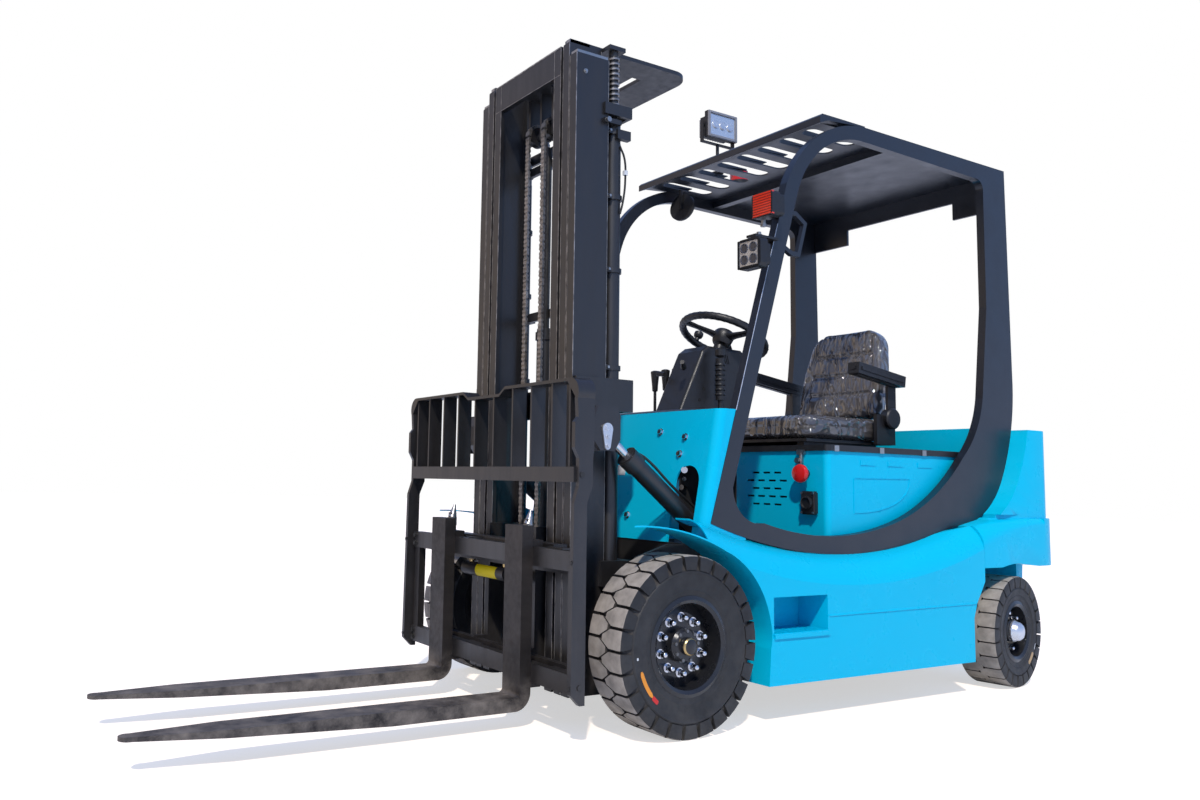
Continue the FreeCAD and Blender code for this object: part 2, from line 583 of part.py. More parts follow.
# Counterweight
def counterweight():
    """Cast rear weight with side arches, shelf and tow pocket."""
    lower = box(SEAM_X, CW_REAR_X, -BODY_Y, BODY_Y, CW_SIDE_BOTTOM, CW_SHELF_Z)
    lower = lower.makeFillet(45, [e for e in lower.Edges if abs(e.CenterOfMass.x - CW_REAR_X) < 1
                                  and abs(e.CenterOfMass.z - (CW_SIDE_BOTTOM + CW_SHELF_Z) / 2) < 1])
    upper = box(BOX_REAR_X - 2, CW_REAR_X + 14, -CW_UPPER_Y, CW_UPPER_Y, CW_SHELF_Z - 5, CW_TOP)
    upper = upper.makeFillet(40, [e for e in upper.Edges if abs(e.CenterOfMass.x - CW_REAR_X - 14) < 1])
    middle = box(BOX_REAR_X - 2, CW_REAR_X + 20, -200, 200, CW_ARCH_Z - 100, CW_SIDE_BOTTOM + 5)
    tail_x = REAR_AXLE_X - 271
    tail = side_plate([(tail_x, CW_SIDE_BOTTOM + 5), (tail_x, 330), (CW_REAR_X + 20, 330),
                       (CW_REAR_X + 8, CW_SIDE_BOTTOM + 5)], -430, 430)
    whole = fuse(lower, upper, middle, tail)
    room = box(BOX_REAR_X - 2, SEAM_X + 5, -GUARD_Y + GUARD_T, GUARD_Y - GUARD_T, 0, 2000)
    whole = whole.cut(room)
    whole = whole.cut(box(SEAM_X + 5, REAR_AXLE_X + 144, -BODY_Y - 10, BODY_Y + 10, 0, 415))
    arch = side_plate([
        (SEAM_X + 10, 300), (SEAM_X + 10, 412),
        ((REAR_AXLE_X + 134, 458), (REAR_AXLE_X + 4, CW_ARCH_Z)),
        (REAR_AXLE_X - 132, CW_SIDE_BOTTOM), (REAR_AXLE_X - 256, CW_SIDE_BOTTOM), (REAR_AXLE_X - 256, 300),
    ], 210, BODY_Y + 10)
    pocket = box(CW_REAR_X - 10, CW_REAR_X + 90, -45, 45, 520, 610)
    hole = cyl_z(CW_REAR_X + 50, 0, 16, 480, CW_SHELF_Z + 5)
    for sign in (1, -1):
        whole = whole.cut(side(arch, sign)).cut(side(guard_room(), sign))
    notch = box(CW_REAR_X - 10, CW_REAR_X + 84, -42, 42, CW_SHELF_Z, CW_SHELF_Z + 70)
    whole = whole.cut(pocket).cut(hole).cut(notch)
    add("counterweight", max(whole.Solids, key=lambda s: s.Volume))
    add("tow_pin", fuse(
        cyl_z(CW_REAR_X + 50, 0, 16 - 2 * SEAT, 484, CW_SHELF_Z + 30),
        cyl_z(CW_REAR_X + 50, 0, 26, CW_SHELF_Z + SEAT, CW_SHELF_Z + 12),
    ))


# Overhead guard
GUARD_OUTSIDE = [
    LEG_FOOT,
    ((SHOULDER_X, SHOULDER_Z), (REAR_AXLE_X + 384, shoulder_z(REAR_AXLE_X + 384))),
    (REAR_AXLE_X + 114, 642),
    ((REAR_AXLE_X + 14, 704), (REAR_AXLE_X - 62, 803)),
    ((REAR_AXLE_X - 134, 996), (REAR_AXLE_X - 156, 1228)),
    (REAR_AXLE_X - 141, ROOF_Z - 2),
    (-960, ROOF_Z + 2),
    ((-690, 2008), LEG_TOP),
]


def guard_room():
    """Room that the body leaves for the left side frame, a seat gap larger all round."""
    wire = outline(GUARD_OUTSIDE, lambda p: Vector(p[0], 0, p[1]))
    face = Part.Face(wire).makeOffset2D(SEAT)
    room = Part.Face(face.Wires).extrude(Vector(0, 200, 0))
    room.translate(Vector(0, GUARD_Y - GUARD_T - SEAT, 0))
    return room


def guard_side():
    """Left side frame of the guard: front leg, roof rail, rear pillar and curved foot, one closed ring."""
    back = (LEG_FOOT[0] - LEG_DEPTH, LEG_FOOT[1])
    slope = (LEG_TOP[0] - LEG_FOOT[0]) / (LEG_TOP[1] - LEG_FOOT[1])

    def leg_back(z):
        """Rear edge of the leg at height z."""
        return (back[0] + slope * (z - LEG_FOOT[1]), z)

    sill_mid_x = (REAR_AXLE_X + 621 - 419) / 2
    inside = [
        leg_back(745),
        ((-306, 670), (-419, 629)),
        ((sill_mid_x, 584), (REAR_AXLE_X + 621, 626)),
        ((REAR_AXLE_X + 382, 728), (REAR_AXLE_X + 189, 885)),
        ((REAR_AXLE_X + 104, 985), (REAR_AXLE_X + 52, 1126)),
        (REAR_AXLE_X + 10, 1500),
        (REAR_AXLE_X + 10, 1990),
        ((REAR_AXLE_X + 22, 2020), (REAR_AXLE_X + 52, 2032)),
        (-948, 2046),
        ((-742, 1985), leg_back(1790)),
    ]
    y0, y1 = GUARD_Y - GUARD_T, GUARD_Y
    return side_plate(GUARD_OUTSIDE, y0, y1).cut(side_plate(inside, y0 - 1, y1 + 1))


def grab_handle():
    """Loop handle behind the left front leg."""
    y0, y1 = GUARD_Y - 24, GUARD_Y - 8
    loop = side_plate([(-560, 1722), (-596, 1722), (-650, 1688), (-612, 1560), (-570, 1560), (-520, 1584)], y0, y1)
    hole = side_plate([(-560, 1706), (-592, 1706), (-632, 1680), (-600, 1576), (-574, 1576), (-520, 1600)],
                      y0 - 1, y1 + 1)
    return loop.cut(hole)


def guard_roof():
    """Front cross plate, slotted roof panel and rear cross plate between the side frames."""
    half = GUARD_Y - GUARD_T - SEAT
    panel = box(ROOF_FRONT_X - 30, ROOF_REAR_X + 40, -half, half, ROOF_Z - 14, ROOF_Z - 14 + ROOF_T)
    front = side_plate([(ROOF_FRONT_X, ROOF_Z - 4), (ROOF_FRONT_X - 12, ROOF_Z + 6), (-960, ROOF_Z + 6),
                        (-960, ROOF_Z + 2.6), (ROOF_FRONT_X - 40, ROOF_Z - 14), (ROOF_FRONT_X, ROOF_Z - 30)],
                       -GUARD_Y, GUARD_Y)
    rear = box(ROOF_REAR_X + 28, ROOF_REAR_X + 40, -half, half, ROOF_Z - 87, ROOF_Z - 8)
    tabs = box(ROOF_REAR_X + 28, ROOF_REAR_X + 40, 277, half, ROOF_Z - 162, ROOF_Z - 82)
    rib = box(-1180, -1140, -half, half, ROOF_Z - 44, ROOF_Z - 12)
    roof = fuse(panel, front, rear, tabs, mirrored(tabs), rib)
    roof = roof.cut(guard_room()).cut(mirrored(guard_room()))
    roof = max(roof.Solids, key=lambda s: s.Volume)
    width, pitch, x0, x1 = 62.0, 112.0, -800.0, -1010.0
    for place in (-3.5, -2.5, -1.5, -0.5, 0.5, 1.5, 2.5, 3.5):
        y = place * pitch
        cutter = fuse(box(x0, x1, y - width / 2, y + width / 2, ROOF_Z - 60, ROOF_Z + 40),
                      cyl_z(x0, y, width / 2, ROOF_Z - 60, ROOF_Z + 40),
                      cyl_z(x1, y, width / 2, ROOF_Z - 60, ROOF_Z + 40))
        roof = roof.cut(cutter)
    return roof


# Lamps and mirror
FLOOD = (-905.0, -206.0, 2312.0)      # centre of the flood lamp on the roof


def rounded_x(x0, x1, y, z, width, height, radius):
    """Block along X with a rounded square outline in Y and Z."""
    block = box(x0, x1, y - width / 2, y + width / 2, z - height / 2, z + height / 2)
    return block.makeFillet(radius, [e for e in block.Edges if abs(e.CenterOfMass.x - (x0 + x1) / 2) < 1])


def lamps():
    """Work and turn lamps on the guard's legs, and what stands on or hangs under the roof."""
    def leg_x(z):
        """Front edge of the leg at height z."""
        return LEG_FOOT[0] + (LEG_TOP[0] - LEG_FOOT[0]) * (z - LEG_FOOT[1]) / (LEG_TOP[1] - LEG_FOOT[1])

    work_z, turn_z = 1533.0, 1705.0
    y0 = GUARD_Y - GUARD_T
    work_x, turn_x = leg_x(work_z) + 108, leg_x(turn_z) + 106
    work = fuse(
        rounded_x(work_x - 34, work_x, y0 + 38, work_z, 104, 104, 18),
        rounded_x(work_x - 62, work_x - 33, y0 + 38, work_z, 76, 76, 12),
        box(work_x - 50, work_x - 20, y0 + 26, y0 + 50, work_z + 40, work_z + 70),
        box(work_x - 130, work_x - 20, y0 + 8, y0 + 50, work_z + 62, work_z + 70),
    )
    turn = fuse(
        rounded_x(turn_x - 40, turn_x, y0 + 46, turn_z + 5, 92, 88, 16),
        rounded_x(turn_x - 66, turn_x - 39, y0 + 46, turn_z + 5, 80, 76, 12),
        box(turn_x - 110, turn_x - 50, y0 + 8, y0 + 30, turn_z - 20, turn_z + 20),
    )
    leg_solid = guard_side()
    lamp_set = [s.cut(leg_solid) for s in (work, turn)]
    add("front_lamps", Part.makeCompound([side(s, sign) for s in lamp_set for sign in (1, -1)]))
    flood_x, flood_y, flood_z = FLOOD
    half_w, half_h = 84.0, 58.0
    fork_x = half_w + 8
    flood = fuse(
        cyl_z(flood_x, flood_y, 7, ROOF_Z + 6 + SEAT, flood_z - half_h - 16),
        cyl_z(flood_x, flood_y, 26, ROOF_Z + 6 + SEAT, ROOF_Z + 12),
        box(flood_x - fork_x, flood_x + fork_x, flood_y - 10, flood_y + 10, flood_z - half_h - 18,
            flood_z - half_h - 14),
        box(flood_x - fork_x, flood_x - fork_x + 4, flood_y - 10, flood_y + 10, flood_z - half_h - 18, flood_z + 12),
        box(flood_x + fork_x - 4, flood_x + fork_x, flood_y - 10, flood_y + 10, flood_z - half_h - 18, flood_z + 12),
        cyl_x(flood_y, flood_z, 7, flood_x - fork_x, flood_x + fork_x),
        box(flood_x - half_w, flood_x + half_w, flood_y + 10, flood_y + 30, flood_z - half_h, flood_z + half_h),
        box(flood_x - half_w + 16, flood_x + half_w - 16, flood_y - 34, flood_y + 12, flood_z - half_h + 14,
            flood_z + half_h - 14),
    )
    beacon = fuse(
        cyl_z(-1080, -250, 45, ROOF_Z - 8 + SEAT, ROOF_Z + 14),
        cyl_z(-1080, -250, 38, ROOF_Z + 13, ROOF_Z + 60),
    )
    add("roof_lamps", Part.makeCompound([flood, beacon]))
    mirror_x, mirror_y, mirror_z = -893.0, -420.0, 2008.0
    disc = Part.makeCylinder(62, 12, Vector(mirror_x, mirror_y, mirror_z), Vector(-1, -0.25, -0.12))
    stem = box(mirror_x - 2, mirror_x + 10, mirror_y - 6, mirror_y + 6, mirror_z - 10, ROOF_Z - 14 - SEAT)
    add("rear_view_mirror", fuse(disc, stem))


# Driver's controls
LEVERS_Y = (-226.0, -162.0, -98.0)    # lift, tilt and side-shift levers


def controls():
    """Steering column, levers and the panel fittings on the seat box."""
    lean = math.radians(COLUMN_LEAN)
    axis = Vector(-math.sin(lean), 0, math.cos(lean))
    hub = Vector(WHEEL_HUB[0], 0, WHEEL_HUB[1])
    top = hub - axis * 45
    shaft_length = (hub.z - FLOOR_Z) / math.cos(lean) - 60
    foot = hub - axis * (45 + shaft_length)
    column = Part.makeCylinder(24, shaft_length, foot, axis)
    cover = side_plate([(-432, 1012), (-556, 1268), (-588, 1290), (-762, 1286), (-800, 1258), (-712, 1012)],
                       -74, 74)
    cover = cover.makeFillet(14, [e for e in cover.Edges if abs(e.CenterOfMass.y) > 73 and e.CenterOfMass.z > 1020])
    base = box(foot.x - 60, foot.x + 60, -70, 70, FLOOR_Z, FLOOR_Z + 30)
    stalk = cyl_y(top.x + 40, top.z - 50, 7, -170, -70)
    column = fuse(column, cover, base, stalk).common(box(-2000, 0, -500, 500, FLOOR_Z + SEAT, 3000))
    bore = Part.makeCylinder(12, 60, hub - axis * 100, axis)
    add("steering_column", column.cut(bore).fuse(Part.makeCylinder(11 - RUN, 95, hub - axis * 100, axis)))
    grip = Part.makeTorus(WHEEL_R - WHEEL_RIM_R, WHEEL_RIM_R, hub, axis)
    spokes = []
    for angle in (90, 210, 330):
        spoke = box(20, WHEEL_R - WHEEL_RIM_R, -14, 14, -7, 5)
        spoke.rotate(Vector(0, 0, 0), Vector(0, 0, 1), angle)
        spoke.rotate(Vector(0, 0, 0), Vector(0, 1, 0), -COLUMN_LEAN)
        spoke.translate(hub)
        spokes.append(spoke)
    boss = Part.makeCylinder(38, 60, hub - axis * 38, axis)
    knob = Part.makeCylinder(20, 44, hub + axis * 4 + Vector(0, -(WHEEL_R - 24), 0), axis)
    wheel = fuse(grip, boss, knob, *spokes)
    add("steering_wheel", wheel.cut(Part.makeCylinder(11, 33, hub - axis * 38, axis)))
    lever_x, levers = -575.0, []
    console_top = COWL_TOP_Z - SHEET - SEAT
    console = box(-300, lever_x - 40, -256, -82, 930, console_top)
    levers.append(console)
    for y in LEVERS_Y:
        levers.append(cyl_z(lever_x, y, 6, 980, 1150))
        levers.append(Part.makeCone(11, 18, 70, Vector(lever_x, y, 1140)))
    brake = fuse(box(-300, -640, 98, 142, 930, console_top), cyl_z(-600, 120, 8, 980, 1080),
                 cyl_z(-600, 120, 17, 1075, 1235))
    add("control_levers", Part.makeCompound([fuse(*levers), brake]))
    stop_y, stop_z, plug_y, plug_z = 358.0, 802.0, 386.0, 696.0
    face = BOX_FRONT_X + SEAT
    stop = fuse(cyl_x(stop_y, stop_z, 14, face, face + 24), cyl_x(stop_y, stop_z, 30, face + 22, face + 46))
    plug = box(face, face + 28, plug_y - 32, plug_y + 32, plug_z - 42, plug_z + 42)
    latch = box(face, face + 10, stop_y - 40, stop_y - 16, BOX_TOP - 60, BOX_TOP - 4)
    add("panel_fittings", Part.makeCompound([stop, plug, latch]))


# Mast
def channel(stage, sign=1):
    """One channel of a mast stage, open towards the middle of the mast."""
    face, width, top = STAGES[stage]
    web = box(MAST_BACK_X, MAST_FRONT_X, face - WEB_T, face, MAST_BOTTOM, top)
    front = box(MAST_FRONT_X - FLANGE_T, MAST_FRONT_X, face - width, face, MAST_BOTTOM, top)
    back = box(MAST_BACK_X, MAST_BACK_X + FLANGE_T, face - width, face, MAST_BOTTOM, top)
    return side(fuse(web, front, back), sign)


ROLLER_R = (MAST_FRONT_X - MAST_BACK_X) / 2 - FLANGE_T - ROLL
MAST_MID_X = (MAST_FRONT_X + MAST_BACK_X) / 2


def roller(carrier_y, track_face, z):
    """Roller on a stub, from the carrier's outer face into the channel outside it."""
    web_in = track_face - WEB_T
    return fuse(
        cyl_y(MAST_MID_X, z, 20, carrier_y - 4, web_in - 18),
        cyl_y(MAST_MID_X, z, ROLLER_R, web_in - 19, web_in - ROLL),
    )


def tie(half, x0, x1, z0, z1):
    """Flat cross tie between the two channels of a stage."""
    return box(x0, x1, -half, half, z0, z1)


def outer_stage():
    """Outer stage with its feet on the drive axle, its ties and the tilt cylinder brackets."""
    face, width, top = STAGES["outer"]
    left = channel("outer")
    foot = side_plate([
        (MAST_BACK_X + 2, LIFT_FOOT_Z - 14), (MAST_BACK_X + 2, 120), (40, 160),
        ((-AXLE_R - 26, AXLE_Z), (0, LIFT_FOOT_Z - 14)),
    ], face - 34, face - 2)
    foot = foot.cut(cyl_y(0, AXLE_Z, AXLE_R + RUN, 0, 500))
    cheek = box(LIFT_X - 62, MAST_FRONT_X - 6, face - 2, face + 14, 985, 1092)
    back_tie = tie(face + 14, LIFT_X - 62, LIFT_X - 46, 985, 1092)
    low_cheek = box(LIFT_X - 62, MAST_BACK_X + 20, face - 2, face + 14, 420, 500)
    low_tie = tie(face + 14, LIFT_X - 62, LIFT_X - 46, 420, 500)
    top_cheek = box(LIFT_X - 52, MAST_BACK_X + 20, face - 2, face + 10, 1990, 2030)
    top_tie = tie(face + 10, LIFT_X - 52, LIFT_X - 40, 1990, 2030)
    ear = [(TILT_PIN[0] - 52, 960), (TILT_PIN[0] - 40, 990), (TILT_PIN[0] + 34, 990), (TILT_PIN[0] + 52, 950),
           (TILT_PIN[0] + 50, 880), (TILT_PIN[0] + 26, 850), (TILT_PIN[0] - 30, 850), (TILT_PIN[0] - 52, 885)]
    gap = TILT_EYE_W / 2 + 2
    ear_out = side_plate(ear, TILT_Y + gap, TILT_Y + gap + 14)
    ear_in = side_plate(ear, face - 1, TILT_Y - gap)
    bridge = box(TILT_PIN[0] - 40, TILT_PIN[0] + 34, face - 1, TILT_Y + gap + 14, 972, 990)
    pin = cyl_y(TILT_PIN[0], TILT_PIN[1], TILT_PIN_R, TILT_Y - gap - 10, TILT_Y + gap + 18)
    half = fuse(left, foot, cheek, low_cheek, top_cheek, ear_out, ear_in, bridge, pin)
    bottom = tie(face - 20, MAST_BACK_X - 24, MAST_BACK_X - 8, MAST_BOTTOM + 10, MAST_BOTTOM + 60)
    ends = box(MAST_BACK_X - 24, MAST_BACK_X + 4, face - 34, face - 20, MAST_BOTTOM + 10, MAST_BOTTOM + 60)
    stage = fuse(half, mirrored(half), back_tie, low_tie, top_tie, bottom, ends, mirrored(ends))
    seats = fuse(
        box(LIFT_X - LIFT_R, MAST_BACK_X - 2, LIFT_Y - 20, LIFT_Y + 28, LIFT_FOOT_Z - 14, LIFT_FOOT_Z),
        box(LIFT_X - LIFT_R, MAST_BACK_X + 4, face - 34, face - 2, LIFT_FOOT_Z - 14, LIFT_FOOT_Z),
    )
    add("mast_outer_stage", fuse(stage, seats, mirrored(seats)))
    barrel = cyl_z(LIFT_X, LIFT_Y, LIFT_R, LIFT_FOOT_Z + SEAT, LIFT_BARREL_TOP)
    barrel = barrel.cut(cyl_z(LIFT_X, LIFT_Y, LIFT_ROD_R + RUN, LIFT_FOOT_Z + 14, LIFT_BARREL_TOP + 10))
    add("lift_cylinder_barrels", both(barrel))


def middle_stage():
    """Middle stage with its rear ties, rollers and the rear top plate that the lift rods push."""
    face, width, top = STAGES["middle"]
    low = roller(face, STAGES["outer"][0], MAST_BOTTOM + 70)
    high = roller(face, STAGES["outer"][0], MAST_BOTTOM + 520)
    half = fuse(channel("middle"), low, high)
    tie_x0, tie_x1 = MAST_BACK_X - 24, MAST_BACK_X - 8
    ties = []
    for z0, z1 in MIDDLE_TIES:
        ties.append(tie(face - 24, tie_x0, tie_x1, z0, z1))
        for sign in (1, -1):
            ties.append(side(box(tie_x0, MAST_BACK_X + 4, face - 34, face - 24, z0, z1), sign))
    ears = box(-40, MAST_FRONT_X - 6, face - 34, face - 4, top - 1, top + 14)
    wing = box(LIFT_X - 34, LIFT_X + 34, face - 34, LIFT_Y + 24, top - 1, top + 14)
    plate = plan_plate([
        (8, -face + 4), (8, face - 4), (-255, face - 4), ((-306, face - 30), (-325, face - 85)),
        (-325, -face + 85), ((-306, -face + 30), (-255, -face + 4)),
    ], top, top + 14)
    slot = box(-134, -176, -150, 150, top - 20, top + 40)
    stage = fuse(half, mirrored(half), *ties)
    head = fuse(plate.cut(slot), ears, mirrored(ears), wing, mirrored(wing))
    rear_run_x = SHEAVE_X - SHEAVE_R
    for y in (-SHEAVE_Y, SHEAVE_Y):
        ties.append(box(tie_x0, rear_run_x + CHAIN_T / 2, y - 12, y + 12, REAR_ANCHOR_Z - 30, REAR_ANCHOR_Z))
    add("mast_middle_stage", fuse(stage, head))
    rod = cyl_z(LIFT_X, LIFT_Y, LIFT_ROD_R, LIFT_FOOT_Z + 20, top - 1 - SEAT)
    add("lift_cylinder_rods", both(rod))


def inner_stage():
    """Inner stage with its front top tie, rear ties, rollers and chain sheaves."""
    face, width, top = STAGES["inner"]
    low = roller(face, STAGES["middle"][0], MAST_BOTTOM + 70)
    high = roller(face, STAGES["middle"][0], MAST_BOTTOM + 520)
    half = fuse(channel("inner"), low, high)
    parts = [half, mirrored(half), tie(face - 1, MAST_FRONT_X - 22, MAST_FRONT_X, top - 100, top)]
    for z0, z1 in INNER_TIES:
        parts.append(tie(face - width + 2, MAST_BACK_X, MAST_BACK_X + 12, z0, z1))
    # The middle tie steps forward so that it passes the rear chains' anchors
    z0, z1 = INNER_STEPPED_TIE
    parts.append(tie(STEP_HALF, MAST_BACK_X + 19, MAST_BACK_X + 31, z0, z1))
    step_end = fuse(
        box(MAST_BACK_X, MAST_BACK_X + 31, STEP_HALF - 12, STEP_HALF, z0, z1),
        box(MAST_BACK_X, MAST_BACK_X + 12, STEP_HALF - 12, face - width + 2, z0, z1),
    )
    parts += [step_end, mirrored(step_end)]
    axle = cyl_y(SHEAVE_X, SHEAVE_Z, 14, -SHEAVE_Y - 24, SHEAVE_Y + 24)
    parts.append(axle)
    for y in (-SHEAVE_Y - 24, 0, SHEAVE_Y + 24):
        parts.append(box(SHEAVE_X - 22, SHEAVE_X + 22, y - 6, y + 6, SHEAVE_Z - 24, top - 72))
    parts.append(box(MAST_BACK_X + 6, MAST_FRONT_X - 8, -SHEAVE_Y - 30, SHEAVE_Y + 30, top - 82, top - 66))
    for y in (-SHEAVE_Y, SHEAVE_Y):
        parts.append(cyl_y(SHEAVE_X, SHEAVE_Z, SHEAVE_R - CHAIN_T / 2 - SEAT, y - 12, y + 12))
    add("mast_inner_stage", fuse(*parts))
    front_runs, rear_runs = [], []
    for y in (-SHEAVE_Y, SHEAVE_Y):
        loop = cyl_y(SHEAVE_X, SHEAVE_Z, SHEAVE_R + CHAIN_T / 2, y - CHAIN_W / 2, y + CHAIN_W / 2)
        loop = loop.cut(cyl_y(SHEAVE_X, SHEAVE_Z, SHEAVE_R - CHAIN_T / 2, y - 50, y + 50))
        loop = loop.common(box(0, 400, -200, 200, SHEAVE_Z, SHEAVE_Z + 200))
        front = box(SHEAVE_X + SHEAVE_R - CHAIN_T / 2, SHEAVE_X + SHEAVE_R + CHAIN_T / 2, y - CHAIN_W / 2,
                    y + CHAIN_W / 2, CARRIAGE_ANCHOR_Z + SEAT, SHEAVE_Z)
        rear = box(SHEAVE_X - SHEAVE_R - CHAIN_T / 2, SHEAVE_X - SHEAVE_R + CHAIN_T / 2, y - CHAIN_W / 2,
                   y + CHAIN_W / 2, REAR_ANCHOR_Z + SEAT, SHEAVE_Z)
        front_runs.append(fuse(loop, front))
        rear_runs.append(rear)
    add("front_chain_runs", Part.makeCompound(front_runs))
    add("rear_chain_runs", Part.makeCompound(rear_runs))



# Fork carriage
def lift_carriage():
    """Roller plates, cross bars and chain anchors that ride in the inner stage."""
    face = STAGES["inner"][0]
    plate_y0, plate_y1 = 138.0, 156.0
    front, mid, back = MAST_FRONT_X + 74, MAST_FRONT_X + 30, MAST_BACK_X + 38
    plate = side_plate([(back, 130), (back, 600), (mid, 600), (mid, 545), (front, 545), (front, 470), (mid, 470),
                        (mid, 210), (front, 210), (front, 130)], plate_y0, plate_y1)
    rollers = fuse(roller(plate_y1, face, 185), roller(plate_y1, face, 545))
    bar_x0, bar_x1 = MAST_FRONT_X + 50, MAST_FRONT_X + 74
    low = box(bar_x0, bar_x1, -430, 430, 142, 200)
    high = box(bar_x0, bar_x1, -430, 430, 470, 545)
    cross = box(SHEAVE_X + 22, SHEAVE_X + 64, -plate_y0 - 4, plate_y0 + 4, CARRIAGE_ANCHOR_Z - 30,
                CARRIAGE_ANCHOR_Z)
    half = fuse(plate, rollers)
    return fuse(half, mirrored(half), low, high, cross)


CARRIAGE_FRONT_X = MAST_FRONT_X + 74
BAR_BACK_X = FORK_FACE_X - FORK_T - BAR_T


def shift_frame():
    """Side-shifting fork bars, with hooks that run on the carriage's bars."""
    parts = []
    for name in ("lower", "upper"):
        z0, z1 = BARS[name]
        parts.append(box(BAR_BACK_X, BAR_BACK_X + BAR_T, -BAR_HALF, BAR_HALF, z0, z1))
    for y in (STRAP_Y, -STRAP_Y):
        parts.append(box(BAR_BACK_X, BAR_BACK_X + BAR_T - 4, y - 18, y + 18, BARS["lower"][1] - 5,
                         BARS["upper"][0] + 5))
    for y in (-380.0, -130.0, 130.0, 380.0):
        parts.append(box(CARRIAGE_FRONT_X + SEAT, BAR_BACK_X + 5, y - 40, y + 40, 500, 545 + SEAT + 6))
        parts.append(box(CARRIAGE_FRONT_X + SEAT, BAR_BACK_X + 5, y - 40, y + 40, 150, 190))
    hook = box(MAST_FRONT_X + 36, BAR_BACK_X - 20, -340, 340, 545 + SEAT, 545 + SEAT + 12)
    lip = box(MAST_FRONT_X + 36, MAST_FRONT_X + 50 - SEAT, 245, 340, 525, 545 + SEAT + 12)
    parts += [hook, lip, mirrored(lip)]
    rod_x, rod_z, rod_r = MAST_FRONT_X + 62, 436.0, 10.0
    lug_y = 125.0
    parts.append(cyl_y(rod_x, rod_z, rod_r, -130, lug_y + 6))
    parts.append(box(rod_x - 20, BAR_BACK_X + 5, lug_y, lug_y + 12, rod_z - 18, rod_z + 18))
    parts.append(box(CARRIAGE_FRONT_X + 2, BAR_BACK_X + 5, lug_y, lug_y + 12, rod_z, BARS["upper"][0] + 8))
    add("fork_bars", fuse(*parts))
    barrel = fuse(cyl_y(rod_x, rod_z, 24, -242, 39),
                  box(rod_x - 12, CARRIAGE_FRONT_X, -140, -60, rod_z, 470))
    add("sideshift_cylinder", barrel.cut(cyl_y(rod_x, rod_z, rod_r + RUN, -222, 60)))


def backrest():
    """Load backrest: two side posts, top frame, lower bar and upright slats."""
    post_t = 16.0
    y0, y1 = BACKREST_Y - post_t, BACKREST_Y
    post = side_plate([
        (BACKREST_X1, BACKREST_TOP - 60), (BACKREST_X1 - 4, 940), (BACKREST_X1 + 8, 925), (BACKREST_X1 + 8, 850),
        (BACKREST_X1 - 8, 820), (BACKREST_X1 - 8, 740), (BACKREST_X1 + 8, 690), (BACKREST_X1 + 12, 150),
        (BACKREST_X1 - 20, 118), (BACKREST_X0 + 24, 118), (BACKREST_X0 + 24, 690), (BACKREST_X0 + 4, 740),
        (BACKREST_X0 + 4, 820), (BACKREST_X0, 850), (BACKREST_X0, BACKREST_TOP - 60),
    ], y0, y1)
    edge_r = 34.0
    mid_low, step_y0, step_y1 = BACKREST_TOP - 22, 105.0, 140.0
    frame_out = [(BACKREST_Y, BACKREST_TOP - 62), ((BACKREST_Y - 10, BACKREST_TOP - 12),
                 (BACKREST_Y - edge_r - 10, BACKREST_TOP)), (step_y1, BACKREST_TOP), (step_y0, mid_low),
                 (-step_y0, mid_low), (-step_y1, BACKREST_TOP), (-BACKREST_Y + edge_r + 10, BACKREST_TOP),
                 ((-BACKREST_Y + 10, BACKREST_TOP - 12), (-BACKREST_Y, BACKREST_TOP - 62))]
    drop = 10.0
    frame_in = [(y * (BACKREST_Y - drop) / BACKREST_Y, z - drop) for y, z in
                [(BACKREST_Y, BACKREST_TOP - 52), (BACKREST_Y - edge_r - 10, BACKREST_TOP), (step_y1, BACKREST_TOP),
                 (step_y0, mid_low), (-step_y0, mid_low), (-step_y1, BACKREST_TOP),
                 (-BACKREST_Y + edge_r + 10, BACKREST_TOP), (-BACKREST_Y, BACKREST_TOP - 52)]]
    cap = front_plate(frame_out, BACKREST_X0, BACKREST_X1).cut(
        front_plate(frame_in, BACKREST_X0 - 1, BACKREST_X1 + 1))
    bar = box(BACKREST_X1 - 14, BACKREST_X1, -y0, y0, 750, 795)
    parts = [cap, bar, post, mirrored(post)]
    slat_t = 8.0
    for y in SLATS_Y:
        top = mid_low - 2 if y < step_y0 else BACKREST_TOP - 2
        slat = box(BACKREST_X0 + 4, BACKREST_X1 - 6, y - slat_t / 2, y + slat_t / 2, 752, top - 6)
        parts += [slat, mirrored(slat)]
    lugs = []
    for z0, z1 in (BARS["lower"], BARS["upper"]):
        lugs.append(box(BAR_BACK_X + 4, BAR_BACK_X + BAR_T - 2, BAR_HALF + SEAT, y0 + 2, z0 + 4, z1 - 4))
    for lug in lugs:
        parts += [lug, mirrored(lug)]
    return fuse(*parts)


